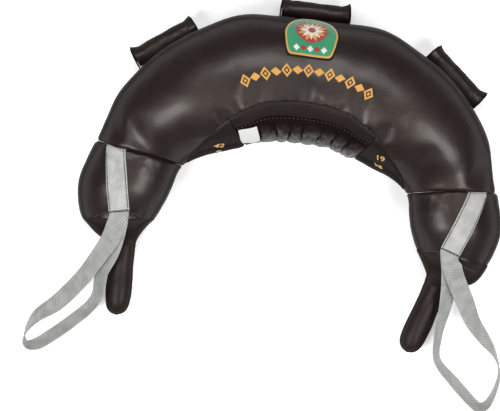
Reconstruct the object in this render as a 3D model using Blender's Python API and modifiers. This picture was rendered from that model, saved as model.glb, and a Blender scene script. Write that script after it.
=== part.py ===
"""Bulgarian bag, lying on its back: a padded leather crescent with a gathered inner
gusset, two end grips, two webbing loops and three rolled handles on its outer arc.

Metres, +Z up. The crescent is drawn about the centre of its arc, with its crown
toward +Y, and the finished bag is then moved so that the origin is on the ground
below the middle of its bounding box.
"""

import math

import bmesh
import bpy
from mathutils import Vector

DEGREE = math.pi / 180.0
SIDES = {"left": -1, "right": 1}

# Crescent
ARC_RADIUS = 0.2600
BODY_HALF_WIDTH = 0.0995
BODY_HALF_DEPTH = 0.0840
FLOOR_SINK = 0.0060
END_DRAW_IN = {"left": -0.0065, "right": 0.0045}

# Leather, filling and the gaps between them
LEATHER = 0.0024
SEAM_GAP = 0.0006
SEAM_DIP = 0.0022
SEAM_ROLL = 0.0080
LAYER_GAP = 0.0005
SEAT_GAP = 0.0003
FILLING_GAP = 0.0020
WOOL = 0.0200
SACK_GAP = 0.0032
SACK_SPACING = 0.0060
SACK_FULLNESS = 5.0
SACK_END_SHARE = 0.16

# Neck and grip at each end
GRIP_RADIUS = 0.0194
GRIP_LENGTH = 0.1110
GRIP_WALL = 0.0024
GRIP_CORE_GAP = 0.0010
GRIP_SINK = 0.0010
NECK_REACH = {"left": 0.0400, "right": 0.0500}
NECK_SHIFT = {"left": 0.0110, "right": 0.0175}
GRIP_LEAN = {"left": 0.0, "right": 17.5}
NECK_SLOPE_FACTOR = 2.2

# Webbing
WEBBING_WIDTH = 0.0300
WEBBING = 0.0020
WEBBING_GAP = 0.0006
STRAP_COVER = 0.0014
STITCH_BACK = 0.0045
STRAP_RUN = 0.1120
LOOP_LEAD = 0.0100
LOOP_LENGTH = 0.2400
LOOP_FLOOR_GAP = 0.0003

# Rolled handles
HANDLE_LENGTH = 0.1080
HANDLE_ROLL_RADIUS = 0.0122
HANDLE_WALL = 0.0022
HANDLE_CORE_GAP = 0.0005
HANDLE_FINGER_GAP = 0.0142
FLAP = 0.0030
FLAP_GAP = 0.0010
FLAP_WIDTH = 0.0420
FLAP_TAPER_SHARE = 0.72
FLAP_CORNER = 0.0065
FLAP_FOOT = 0.0130

# Patch and label
BADGE_WIDTH = 0.0830
BADGE_HEIGHT = 0.0965
BADGE_THICKNESS = 0.0016
BADGE_GAP = 0.0016
BADGE_CUT_SHARE = 0.66
BADGE_FULLNESS = 1.95
BADGE_END_SHARE = 0.98
LABEL_WIDTH = 0.0285
LABEL_DROP = 0.0405
LABEL_THICKNESS = 0.0008
LABEL_SLANT_SHARE = -0.15

# Places along the crescent and round it, in degrees. A girth of 0 faces out of
# the arc, 90 faces up and 180 faces the centre of the arc.
SEAM_ANGLE = 72.4
SEAM_SLANT = 2.8
CREASE_ANGLE = 95.5
GATHER_ANGLE = 38.0
GUSSET_TIP_ANGLE = 67.0
BADGE_ANGLE = -0.7
BADGE_GIRTH = 46.0
LABEL_ANGLE = -32.3
LABEL_GIRTH = 151.9
HANDLE_ANGLES = {"left": -41.7, "top": 0.0, "right": 42.0}
HANDLE_GIRTHS = {"left": -33.0, "top": -28.0, "right": -33.0}
HANDLE_TURNS = {"left": 5.5, "top": 0.0, "right": -1.5}
STRAP_TOP_ANGLE = 74.6
STRAP_TOP_GIRTH = {"left": 64.5, "right": 60.8}
STRAP_END_ANGLE = {"left": 93.4, "right": 94.2}
STRAP_END_GIRTH = {"left": 92.8, "right": 98.0}
STRAP_BOW = {"left": 3.8, "right": 1.0}

# Gathers of the inner gusset
GATHER_COUNT = 8
GATHER_DEPTH = 0.0055

# Body: degrees from the crown, then shares of ARC_RADIUS, BODY_HALF_WIDTH and
# BODY_HALF_DEPTH.
BODY_SHARES = (
    (-10.0, 0.853, 0.960, 0.985),
    (0.0, 0.840, 0.946, 0.976),
    (10.0, 0.853, 0.960, 0.985),
    (20.0, 0.881, 1.000, 1.000),
    (30.0, 0.885, 0.985, 1.000),
    (40.0, 0.905, 0.952, 0.988),
    (50.0, 0.925, 0.916, 0.952),
    (60.0, 0.962, 0.815, 0.869),
    (70.0, 0.980, 0.687, 0.762),
    (80.0, 0.986, 0.708, 0.762),
    (87.0, 0.996, 0.700, 0.750),
    (95.5, 1.002, 0.598, 0.655),
)

# Gusset: degrees from the crown, then how far its seam and its band reach round
# the girth from the inner line, as shares of a half turn.
GUSSET_SHARES = (
    (-17.0, 0.353, 0.265),
    (0.0, 0.370, 0.275),
    (17.0, 0.353, 0.265),
    (28.0, 0.342, 0.256),
    (38.0, 0.315, 0.240),
    (48.0, 0.270, 0.220),
    (56.0, 0.215, 0.180),
    (63.0, 0.140, 0.110),
    (67.0, 0.040, 0.030),
)

# Neck: share of its length, then of its sideways shift and of its narrowing
# from the crease to the grip.
NECK_SHARES = (
    (0.00, 0.00, 0.00),
    (0.15, -0.02, 0.13),
    (0.40, -0.02, 0.31),
    (0.62, 0.10, 0.52),
    (0.78, 0.52, 0.83),
    (0.90, 0.94, 0.98),
    (1.00, 1.00, 1.00),
)

# Places of the rings along the neck, its wadding and a sack, and of the columns
# across the gathered gusset.
NECK_RING_SHARES = (0.0, 0.12, 0.25, 0.4, 0.55, 0.68, 0.8, 0.91, 1.0)
NECK_WADDING_SHARES = (0.0, 0.18, 0.35, 0.5)
SACK_RING_SHARES = (-1.0, -0.95, -0.8, -0.4, 0.0, 0.4, 0.8, 0.95, 1.0)
GUSSET_COLUMN_SHARES = (-1.0, -0.9, -0.66, -0.33, 0.0, 0.33, 0.66, 0.9, 1.0)

# Grip: share of its length, then of its radius.
GRIP_SHARES = (
    (0.00, 1.00),
    (0.30, 0.98),
    (0.62, 1.05),
    (0.82, 0.98),
    (0.92, 0.78),
    (0.975, 0.46),
    (0.995, 0.20),
)

# Webbing loops, from the stitch round to the stitch again: shares of LOOP_LENGTH
# across and along the bag, share of the stitch's height, and the degrees that
# the webbing has turned about its own run.
LOOP_SHARES = {
    "left": (
        (0.000, 0.000, 1.000, 0.0),
        (-0.010, -0.079, 0.905, 3.0),
        (-0.040, -0.176, 0.728, 11.0),
        (-0.096, -0.277, 0.499, 24.0),
        (-0.206, -0.457, 0.151, 30.0),
        (-0.351, -0.636, 0.010, 32.0),
        (-0.466, -0.735, 0.000, 52.0),
        (-0.524, -0.825, 0.000, 76.0),
        (-0.537, -0.881, 0.000, 88.0),
        (-0.526, -0.923, 0.000, 101.0),
        (-0.492, -0.934, 0.000, 116.0),
        (-0.432, -0.908, 0.000, 128.0),
        (-0.243, -0.746, 0.005, 130.0),
        (-0.110, -0.592, 0.011, 128.0),
        (-0.084, -0.417, 0.250, 131.0),
        (-0.031, -0.253, 0.540, 156.0),
        (-0.004, -0.100, 0.880, 175.0),
        (0.000, 0.000, 1.000, 180.0),
    ),
    "right": (
        (0.000, 0.000, 1.000, 0.0),
        (0.021, -0.074, 0.945, 3.0),
        (0.061, -0.158, 0.780, 9.0),
        (0.158, -0.312, 0.412, 16.0),
        (0.236, -0.438, 0.158, 36.0),
        (0.330, -0.544, 0.020, 52.0),
        (0.406, -0.638, 0.000, 78.0),
        (0.441, -0.740, 0.000, 88.0),
        (0.424, -0.865, 0.000, 97.0),
        (0.381, -0.961, 0.000, 108.0),
        (0.336, -0.982, 0.000, 117.0),
        (0.294, -0.956, 0.000, 121.0),
        (0.158, -0.836, 0.000, 122.0),
        (0.031, -0.706, 0.000, 113.0),
        (0.018, -0.556, 0.060, 118.0),
        (0.032, -0.357, 0.365, 133.0),
        (0.033, -0.212, 0.640, 150.0),
        (0.020, -0.093, 0.920, 173.0),
        (0.000, 0.000, 1.000, 180.0),
    ),
}

# Samples per sheet
GIRTH_STEPS = 24
PANEL_GIRTH_STEPS = 20
STATION_STEP = 6.2
FILLING_STEP = 9.0
LOOP_STEPS = 54


# Curves through tables of values

def table_row(table, place):
    """Values of a table at a place, on a smooth curve through its rows."""
    last = len(table) - 1
    index = 0
    while index < last - 1 and place > table[index + 1][0]:
        index += 1
    start, end = table[index], table[index + 1]
    before, after = table[max(index - 1, 0)], table[min(index + 2, last)]
    span = end[0] - start[0]
    share = min(max((place - start[0]) / span, 0.0), 1.0)
    values = []
    for column in range(1, len(start)):
        leave = span * (end[column] - before[column]) / (end[0] - before[0])
        arrive = span * (after[column] - start[column]) / (after[0] - start[0])
        values.append(hermite(start[column], end[column], leave, arrive, share))
    return values


def hermite(start, end, leave, arrive, share):
    """A cubic from start to end with the two slopes given."""
    square = share * share
    cube = square * share
    value = start * (2 * cube - 3 * square + 1) + end * (3 * square - 2 * cube)
    return value + leave * (cube - 2 * square + share) + arrive * (cube - square)


def spread(first, last, count):
    """Count steps from first to last, ends included."""
    return [first + (last - first) * step / count for step in range(count + 1)]


# Meshes and objects

def add_object(name, mesh, material, collection, parent):
    obj = bpy.data.objects.new(name, mesh)
    mesh.materials.append(material)
    mesh.shade_smooth()
    collection.objects.link(obj)
    obj.parent = parent
    obj.matrix_parent_inverse = parent.matrix_world.inverted()
    return obj


def sheet_mesh(name, rows, flip=False, closed=False):
    """A sheet through rows of points; closed joins each row's end to its start."""
    bm = bmesh.new()
    grid = [[bm.verts.new(point) for point in row] for row in rows]
    columns = len(rows[0])
    for upper, lower in zip(grid, grid[1:]):
        for column in range(columns if closed else columns - 1):
            near = (column + 1) % columns
            corners = [upper[column], upper[near], lower[near], lower[column]]
            if flip:
                corners.reverse()
            bm.faces.new(corners)
    mesh = bpy.data.meshes.new(name)
    bm.to_mesh(mesh)
    bm.free()
    return mesh


def solid_mesh(name, rows):
    """A closed solid through rings of points, with a flat cap at each end."""
    bm = bmesh.new()
    rings = [[bm.verts.new(point) for point in row] for row in rows]
    count = len(rings[0])
    for upper, lower in zip(rings, rings[1:]):
        for column in range(count):
            near = (column + 1) % count
            bm.faces.new([upper[column], upper[near], lower[near], lower[column]])
    bm.faces.new(rings[0])
    bm.faces.new(rings[-1])
    bmesh.ops.recalc_face_normals(bm, faces=bm.faces)
    mesh = bpy.data.meshes.new(name)
    bm.to_mesh(mesh)
    bm.free()
    return mesh


def thicken(obj, thickness, offset=-1.0):
    wall = obj.modifiers.new("Wall", "SOLIDIFY")
    wall.thickness = thickness
    wall.offset = offset
    wall.use_even_offset = True
    return obj


def plain_material(name, colour, roughness, metallic=0.0):
    material = bpy.data.materials.new(name)
    material.use_nodes = True
    shader = material.node_tree.nodes["Principled BSDF"]
    shader.inputs["Base Color"].default_value = (*colour, 1.0)
    shader.inputs["Roughness"].default_value = roughness
    shader.inputs["Metallic"].default_value = metallic
    return material


# The form of the body

def side_name(angle):
    return "right" if angle > 0 else "left"


def body_size(angle):
    """Radius of the centreline, half width and half depth at an angle."""
    radius, width, depth = table_row(BODY_SHARES, abs(angle))
    return radius * ARC_RADIUS, width * BODY_HALF_WIDTH, depth * BODY_HALF_DEPTH


def draw_in(angle):
    """How far the end on this side is drawn toward the middle."""
    share = min(max((abs(angle) / CREASE_ANGLE - 0.5) * 2.0, 0.0), 1.0)
    return END_DRAW_IN[side_name(angle)] * share * share * (3.0 - 2.0 * share)


def body_point(angle, girth, inset=0.0, floor=None):
    """A point of the body's surface, moved in by inset and no lower than floor."""
    radius, width, depth = body_size(angle)
    reach = radius - draw_in(angle) + (width - inset) * math.cos(girth * DEGREE)
    height = depth - FLOOR_SINK + (depth - inset) * math.sin(girth * DEGREE)
    lowest = inset if floor is None else floor
    turn = angle * DEGREE
    return Vector((reach * math.sin(turn), reach * math.cos(turn), max(height, lowest)))


def gusset_reach(angle):
    """How far the gusset reaches round from the inner line, in degrees."""
    return table_row(GUSSET_SHARES, abs(angle))[0] * 180.0


def band_reach(angle):
    return table_row(GUSSET_SHARES, abs(angle))[1] * 180.0


def girth_of(length, angle):
    """The girth, in degrees, that a length takes round the body."""
    radius, width, depth = body_size(angle)
    return 2.0 * length / (width + depth) / DEGREE


def angle_of(length):
    """The angle, in degrees, that a length takes along the crescent."""
    return length / ARC_RADIUS / DEGREE


# Leather panels

def rolled(first, last, count, roll):
    """Places from first to last and their dips, the two edges rolled under."""
    places = [first, *spread(first + roll, last - roll, count), last]
    return [(place, 1.0 if place in (first, last) else 0.0) for place in places]


def gusset_stations():
    """Angles from the crown to the tip of the gusset, shared by what meets there."""
    middle = spread(0.0, GATHER_ANGLE, round(GATHER_ANGLE / STATION_STEP))
    reach = GUSSET_TIP_ANGLE - GATHER_ANGLE
    return middle + spread(GATHER_ANGLE, GUSSET_TIP_ANGLE, round(reach / STATION_STEP))[1:]


def panel_edge(angle):
    """Girth at which the crescent's panel meets the gusset, or its own other edge."""
    gap = girth_of(SEAM_GAP, angle) / 2.0
    reach = gusset_reach(angle) if abs(angle) <= GUSSET_TIP_ANGLE else 0.0
    return 180.0 - reach - gap


def centre_panel_rows():
    stations = [(angle, 0.0, 0.0) for angle in gusset_stations()]
    end = SEAM_ANGLE - angle_of(SEAM_GAP) / 2.0
    stations.append((end - angle_of(SEAM_ROLL), SEAM_SLANT, 0.0))
    stations.append((end, SEAM_SLANT, 1.0))
    mirrored = [(-angle, -slant, dip) for angle, slant, dip in reversed(stations[1:])]
    rows = []
    for angle, slant, row_dip in mirrored + stations:
        row = []
        edge = panel_edge(angle)
        roll = girth_of(SEAM_ROLL, angle)
        for girth, column_dip in rolled(-edge, edge, PANEL_GIRTH_STEPS, roll):
            place = angle + slant * math.cos(girth * DEGREE)
            row.append(body_point(place, girth, SEAM_DIP * max(row_dip, column_dip)))
        rows.append(row)
    return rows


def end_panel_rows(side):
    """Closed tube of leather from the slanted seam to the crease."""
    rows = []
    start = SEAM_ANGLE + angle_of(SEAM_GAP) / 2.0
    end = CREASE_ANGLE - angle_of(SEAM_GAP) / 2.0
    for place, dip in rolled(0.0, 1.0, 3, angle_of(SEAM_ROLL) / (end - start)):
        row = []
        for step in range(GIRTH_STEPS):
            girth = 360.0 * step / GIRTH_STEPS
            slanted = start + SEAM_SLANT * math.cos(girth * DEGREE)
            angle = SIDES[side] * (slanted + (end - slanted) * place)
            row.append(body_point(angle, girth, SEAM_DIP * dip))
        rows.append(row)
    return rows


def gather_crest(girth_share):
    """Height of the gathers' crests, fading toward the band's stitch."""
    return GATHER_DEPTH * (1.0 - min(girth_share, 1.0) ** 4) ** 2


def gather(place, girth_share):
    """Height of the gathers at a place along them."""
    return gather_crest(girth_share) * abs(math.sin(math.pi * GATHER_COUNT * place))


def gusset_centre_rows():
    """The gathered leather across the middle of the inner side."""
    rows = []
    end = GATHER_ANGLE - angle_of(SEAM_GAP)
    for place in spread(0.0, 1.0, 5 * GATHER_COUNT):
        angle = end * (2.0 * place - 1.0)
        edge = band_reach(angle) - girth_of(SEAM_GAP, angle)
        row = []
        for share in GUSSET_COLUMN_SHARES:
            dip = SEAM_DIP - gather(place, abs(share))
            row.append(body_point(angle, 180.0 + edge * share, dip))
        rows.append(row)
    return rows


def gusset_band_rows(face):
    """Smooth strip between the gathers and the seam, on the front or the back."""
    rows = []
    end = GATHER_ANGLE - angle_of(SEAM_GAP)
    count = 2 * round(GATHER_ANGLE / STATION_STEP)
    for station in spread(-GATHER_ANGLE, GATHER_ANGLE, count):
        angle = min(max(station, -end), end)
        gap = girth_of(SEAM_GAP, angle) / 2.0
        inner = band_reach(angle) + gap
        outer = gusset_reach(angle) - gap
        row = []
        for share in spread(0.0, 1.0, 3):
            dip = SEAM_DIP if share in (0.0, 1.0) else 0.0
            reach = inner + (outer - inner) * share
            row.append(body_point(angle, 180.0 - face * reach, dip))
        rows.append(row)
    return rows


def gusset_end_rows(side):
    """Smooth pointed piece between the gathers and the tip of the gusset."""
    rows = []
    start = GATHER_ANGLE + angle_of(SEAM_GAP)
    for station in gusset_stations():
        if station < GATHER_ANGLE:
            continue
        angle = max(station, start)
        edge = gusset_reach(angle) - girth_of(SEAM_GAP, angle) / 2.0
        row = []
        for share in spread(-1.0, 1.0, 6):
            dip = SEAM_DIP if abs(share) == 1.0 or angle == start else 0.0
            row.append(body_point(SIDES[side] * angle, 180.0 + edge * share, dip))
        rows.append(row)
    return rows


def make_panels(leather, inner_leather, collection, parent):
    mesh = sheet_mesh("centre_panel", centre_panel_rows())
    thicken(add_object("centre_panel", mesh, leather, collection, parent), LEATHER)
    mesh = sheet_mesh("gusset_centre", gusset_centre_rows())
    thicken(add_object("gusset_centre", mesh, inner_leather, collection, parent), LEATHER)
    for name, face in (("gusset_front_band", 1), ("gusset_back_band", -1)):
        mesh = sheet_mesh(name, gusset_band_rows(face), flip=face > 0)
        thicken(add_object(name, mesh, inner_leather, collection, parent), LEATHER)
    for side, sign in SIDES.items():
        name = side + "_gusset_end"
        mesh = sheet_mesh(name, gusset_end_rows(side), flip=sign < 0)
        thicken(add_object(name, mesh, inner_leather, collection, parent), LEATHER)
        name = side + "_end_panel"
        mesh = sheet_mesh(name, end_panel_rows(side), flip=sign < 0, closed=True)
        thicken(add_object(name, mesh, leather, collection, parent), LEATHER)


# Filling

def filling_inset():
    return LEATHER + SEAM_DIP + FILLING_GAP


def sleeve_mesh(name, angles, inset, floor):
    """A thick sleeve of wadding, open at both ends, lying on the leather."""
    girths = [360.0 * step / GIRTH_STEPS for step in range(GIRTH_STEPS)]
    walls = []
    for wall in (0.0, WOOL):
        walls.append([
            [body_point(angle, girth, inset + wall, floor + wall) for girth in girths]
            for angle in angles
        ])
    outer, inner = walls
    rows = outer + inner[::-1] + outer[:1]
    bm = bmesh.new()
    grid = [[bm.verts.new(point) for point in row] for row in rows[:-1]]
    grid.append(grid[0])
    for upper, lower in zip(grid, grid[1:]):
        for column in range(GIRTH_STEPS):
            near = (column + 1) % GIRTH_STEPS
            bm.faces.new([upper[column], upper[near], lower[near], lower[column]])
    bmesh.ops.recalc_face_normals(bm, faces=bm.faces)
    mesh = bpy.data.meshes.new(name)
    bm.to_mesh(mesh)
    bm.free()
    return mesh


def sack_rows(start, end, inset, floor):
    """A sewn sack between two angles, its ends rounded off and its belly on the wool."""
    rows = []
    girths = [360.0 * step / GIRTH_STEPS for step in range(0, GIRTH_STEPS, 2)]
    for share in SACK_RING_SHARES:
        angle = (start + end) / 2.0 + (end - start) / 2.0 * share
        width = body_size(angle)[1] - inset
        fullness = math.sqrt(max(1.0 - abs(share) ** SACK_FULLNESS, SACK_END_SHARE))
        drawn = width * (1.0 - fullness)
        rows.append([body_point(angle, girth, inset + drawn, floor + drawn) for girth in girths])
    return rows


def make_filling(wool, canvas, collection, parent):
    inset = filling_inset()
    floor = LEATHER + SEAM_DIP + SEAT_GAP
    sack_inset = inset + WOOL + SACK_GAP
    sack_floor = floor + WOOL + SEAT_GAP
    inner_end = GUSSET_TIP_ANGLE - 2.0 * angle_of(SEAM_ROLL)
    count = 2 * round(inner_end / FILLING_STEP)
    mesh = sleeve_mesh("wool_sleeve", spread(-inner_end, inner_end, count), inset, floor)
    add_object("wool_sleeve", mesh, wool, collection, parent)
    gap = angle_of(SACK_SPACING)
    third = inner_end * 2.0 / 3.0
    for name, middle in (("left", -third), ("centre", 0.0), ("right", third)):
        name = name + "_sand_sack"
        start, end = middle - third / 2.0 + gap, middle + third / 2.0 - gap
        rows = sack_rows(start, end, sack_inset, sack_floor)
        add_object(name, solid_mesh(name, rows), canvas, collection, parent)
    start = SEAM_ANGLE + SEAM_SLANT + angle_of(SEAM_GAP)
    for side, sign in SIDES.items():
        name = side + "_end_wadding"
        angles = [sign * angle for angle in spread(start, CREASE_ANGLE, 3)]
        add_object(name, sleeve_mesh(name, angles, inset, floor), wool, collection, parent)
        name = side + "_end_sack"
        rows = sack_rows(sign * (start + gap), sign * (CREASE_ANGLE - gap), sack_inset, sack_floor)
        add_object(name, solid_mesh(name, rows), canvas, collection, parent)


# Necks and grips

def outward(angle):
    turn = angle * DEGREE
    return Vector((math.sin(turn), math.cos(turn), 0.0))


def along(angle):
    turn = angle * DEGREE
    return Vector((math.cos(turn), -math.sin(turn), 0.0))


def crease_centre(side):
    angle = SIDES[side] * CREASE_ANGLE
    radius, width, depth = body_size(angle)
    return outward(angle) * (radius - draw_in(angle)) + Vector((0.0, 0.0, depth - FLOOR_SINK))


def grip_frame(side):
    """Pivot of the grip on the ground plane's height, its run and its outer side."""
    sign = SIDES[side]
    lean = GRIP_LEAN[side] * DEGREE
    run = Vector((-sign * math.sin(lean), -math.cos(lean), 0.0))
    across = Vector((sign * math.cos(lean), -math.sin(lean), 0.0))
    pivot = crease_centre(side)
    pivot.x -= sign * NECK_SHIFT[side]
    pivot.y -= NECK_REACH[side]
    pivot.z = GRIP_RADIUS - GRIP_SINK
    return pivot, run, across


def neck_row(side, place, inset=0.0):
    """A ring of the neck, at a share of the way from the crease to the grip."""
    sign = SIDES[side]
    pivot, run, across = grip_frame(side)
    radius, width, depth = body_size(CREASE_ANGLE)
    shift, narrowing = table_row(NECK_SHARES, place)
    half_width = width + (GRIP_RADIUS - width) * narrowing - inset
    half_depth = depth + (GRIP_RADIUS - depth) * narrowing
    sink = FLOOR_SINK + (GRIP_SINK - FLOOR_SINK) * narrowing
    centre = crease_centre(side).lerp(pivot, place)
    centre.x -= sign * NECK_SHIFT[side] * (shift - place)
    centre.z = half_depth - sink
    side_axis = outward(sign * CREASE_ANGLE).lerp(across, place).normalized()
    if place == 0.0:
        centre += run * SEAM_GAP
    row = []
    for step in range(GIRTH_STEPS):
        girth = 360.0 * step / GIRTH_STEPS * DEGREE
        point = centre + side_axis * half_width * math.cos(girth)
        point.z = max(centre.z + (half_depth - inset) * math.sin(girth), inset)
        row.append(point)
    return row


def neck_rows(side):
    """Leather from the crease down to the ring where the grip begins."""
    return [neck_row(side, place, 0.0 if place else SEAM_DIP) for place in NECK_RING_SHARES]


def neck_wadding_rows(side):
    """Wadding in the wide part of the neck; the leather's slope thickens its wall."""
    inset = LEATHER * NECK_SLOPE_FACTOR + FILLING_GAP
    return [neck_row(side, place, inset) for place in NECK_WADDING_SHARES]


def grip_rows(side, inset):
    pivot, run, across = grip_frame(side)
    length = GRIP_LENGTH - 2.0 * inset
    up = Vector((0.0, 0.0, 1.0))
    rows = []
    for place, share in GRIP_SHARES:
        radius = max(GRIP_RADIUS * share - inset, inset)
        middle = pivot + run * (length * place + SEAM_GAP)
        row = []
        for step in range(0, GIRTH_STEPS, 2):
            girth = 360.0 * step / GIRTH_STEPS * DEGREE
            point = middle + (across * math.cos(girth) + up * math.sin(girth)) * radius
            point.z = max(point.z, inset)
            row.append(point)
        rows.append(row)
    return rows


def close_tip(mesh):
    """Fill the small ring at the far end of a grip's leather."""
    bm = bmesh.new()
    bm.from_mesh(mesh)
    bm.verts.ensure_lookup_table()
    ring = GIRTH_STEPS // 2
    tip = [edge for edge in bm.edges if edge.is_boundary
           and all(vert.index >= len(bm.verts) - ring for vert in edge.verts)]
    bmesh.ops.contextual_create(bm, geom=tip)
    bmesh.ops.recalc_face_normals(bm, faces=bm.faces)
    bm.to_mesh(mesh)
    bm.free()


def make_grip(side, leather, wool, collection, root):
    sign = SIDES[side]
    name = side + "_neck"
    mesh = sheet_mesh(name, neck_rows(side), flip=sign < 0, closed=True)
    thicken(add_object(name, mesh, leather, collection, root), LEATHER)
    name = side + "_neck_wadding"
    add_object(name, solid_mesh(name, neck_wadding_rows(side)), wool, collection, root)
    axis = add_axis(side + "_grip_axis", grip_frame(side)[0], collection, root)
    name = side + "_grip_cover"
    mesh = sheet_mesh(name, grip_rows(side, 0.0), flip=sign < 0, closed=True)
    close_tip(mesh)
    thicken(add_object(name, mesh, leather, collection, axis), GRIP_WALL)
    name = side + "_grip_core"
    rows = grip_rows(side, GRIP_WALL + GRIP_CORE_GAP)
    add_object(name, solid_mesh(name, rows), wool, collection, axis)


def add_axis(name, place, collection, parent):
    """An empty on a joint's axis, for what turns or slides with it."""
    empty = bpy.data.objects.new(name, None)
    empty.location = place
    collection.objects.link(empty)
    empty.parent = parent
    empty.matrix_parent_inverse = parent.matrix_world.inverted()
    bpy.context.view_layer.update()
    return empty


# Webbing

def strap_point(side, along_share, across_share, lift):
    """A point of the sewn strip, laid on the end panel."""
    bow = 4.0 * STRAP_BOW[side]
    angle_run = STRAP_END_ANGLE[side] - STRAP_TOP_ANGLE
    girth_run = STRAP_END_GIRTH[side] - STRAP_TOP_GIRTH[side]
    angle = STRAP_TOP_ANGLE + angle_run * along_share
    girth = STRAP_TOP_GIRTH[side] + (girth_run + bow * (1.0 - along_share)) * along_share
    girth_run += bow * (1.0 - 2.0 * along_share)
    radius, width, depth = body_size(angle)
    angle_length = radius + width * math.cos(girth * DEGREE)
    girth_length = (width + depth) / 2.0
    run = Vector((angle_run * angle_length, girth_run * girth_length)).normalized()
    half = WEBBING_WIDTH / 2.0 * across_share / DEGREE
    angle -= run.y * half / angle_length
    girth += run.x * half / girth_length
    return body_point(SIDES[side] * angle, girth, -lift)


def strip_rows(side, lift):
    end = 1.0 - STITCH_BACK / STRAP_RUN
    return [
        [strap_point(side, place, share, lift) for share in spread(-1.0, 1.0, 4)]
        for place in spread(0.0, end, 8)
    ]


def stitch_height():
    """Height over the leather of the middle of the two webbing layers."""
    return LAYER_GAP + WEBBING + WEBBING_GAP / 2.0


def stitch_point(side):
    return strap_point(side, 1.0, 0.0, stitch_height())


def stitch_normal(side):
    """Direction out of the leather below the stitch."""
    lift = stitch_height()
    run = strap_point(side, 1.0, 0.0, lift) - strap_point(side, 0.95, 0.0, lift)
    width = strap_point(side, 1.0, 1.0, lift) - strap_point(side, 1.0, -1.0, lift)
    normal = run.cross(width).normalized()
    return normal if normal.z > 0.0 else -normal


def loop_table(side):
    """The loop's table, with a short straight run out of the stitch at each end."""
    run = stitch_point(side) - strap_point(side, 1.0 - LOOP_LEAD / STRAP_RUN, 0.0, stitch_height())
    lead = run.normalized() * LOOP_LEAD / LOOP_LENGTH
    height = 1.0 + run.normalized().z * LOOP_LEAD / stitch_point(side).z
    table = LOOP_SHARES[side]
    out = (lead.x, lead.y, height, 1.0)
    back = (lead.x, lead.y, height, 179.0)
    return (table[0], out, *table[1:-1], back, table[-1])


def loop_route(side):
    """Places and turns along the loop, on a smooth curve."""
    table = loop_table(side)
    lengths = [0.0]
    for start, end in zip(table, table[1:]):
        step = Vector(end[:2]) - Vector(start[:2])
        lengths.append(lengths[-1] + max(step.length, abs(end[3] - start[3]) / 360.0))
    rows = [(length, *row) for length, row in zip(lengths, table)]
    origin = stitch_point(side)
    route = []
    for length in spread(0.0, lengths[-1], LOOP_STEPS):
        x, y, height, turn = table_row(rows, length)
        turn *= DEGREE
        rest = WEBBING_WIDTH / 2.0 * math.sin(turn) + WEBBING / 2.0 * abs(math.cos(turn))
        layer = height * math.cos(turn) * (WEBBING + WEBBING_GAP) / 2.0
        lifted = max(height, 0.0) * (origin.z - rest) + rest + LOOP_FLOOR_GAP
        place = Vector((origin.x + x * LOOP_LENGTH, origin.y + y * LOOP_LENGTH, lifted + layer))
        route.append((place, turn))
    return route


def loop_rows(side):
    """The webbing as rows across its width; it turns half over on its way round."""
    route = loop_route(side)
    origin = stitch_point(side)
    normal = stitch_normal(side)
    rows = []
    for index, (place, turn) in enumerate(route):
        near = max(1.0 - (place - origin).length / (2.0 * LOOP_LEAD), 0.0)
        up = Vector((0.0, 0.0, 1.0)).lerp(normal, near)
        before = route[max(index - 1, 0)][0]
        after = route[min(index + 1, len(route) - 1)][0]
        run = (after - before).normalized()
        outer = run.cross(up).normalized() * -SIDES[side]
        lifted = (up - run * up.dot(run)).normalized()
        face = lifted * math.cos(turn) + outer * math.sin(turn)
        width = run.cross(face).normalized()
        rows.append([place + width * WEBBING_WIDTH / 2.0 * share for share in (-1.0, 1.0)])
    return rows


def make_strap(side, webbing, strip, collection, root):
    sign = SIDES[side]
    name = side + "_strap_root"
    mesh = sheet_mesh(name, strip_rows(side, LAYER_GAP + WEBBING), flip=sign < 0)
    thicken(add_object(name, mesh, webbing, collection, root), WEBBING)
    name = side + "_strap_cover"
    lift = LAYER_GAP + WEBBING + WEBBING_GAP + STRAP_COVER
    mesh = sheet_mesh(name, strip_rows(side, lift), flip=sign < 0)
    thicken(add_object(name, mesh, strip, collection, root), STRAP_COVER)
    axis = add_axis(side + "_strap_axis", stitch_point(side), collection, root)
    name = side + "_strap"
    mesh = sheet_mesh(name, loop_rows(side))
    thicken(add_object(name, mesh, webbing, collection, axis), WEBBING, 0.0)


# Rolled handles

def handle_frame(which):
    """Middle of the roll, its outward direction and its own run."""
    angle = HANDLE_ANGLES[which]
    surface = body_point(angle, HANDLE_GIRTHS[which])
    centre = surface + outward(angle) * (HANDLE_FINGER_GAP + HANDLE_ROLL_RADIUS)
    angle += HANDLE_TURNS[which]
    return centre, outward(angle), along(angle)


def handle_rows(which, radius, half_length):
    centre, out, run = handle_frame(which)
    up = Vector((0.0, 0.0, 1.0))
    rows = []
    for place in (-half_length, half_length):
        row = []
        for step in range(0, GIRTH_STEPS, 2):
            girth = 360.0 * step / GIRTH_STEPS * DEGREE
            row.append(centre + run * place + (out * math.cos(girth) + up * math.sin(girth)) * radius)
        rows.append(row)
    return rows


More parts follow.
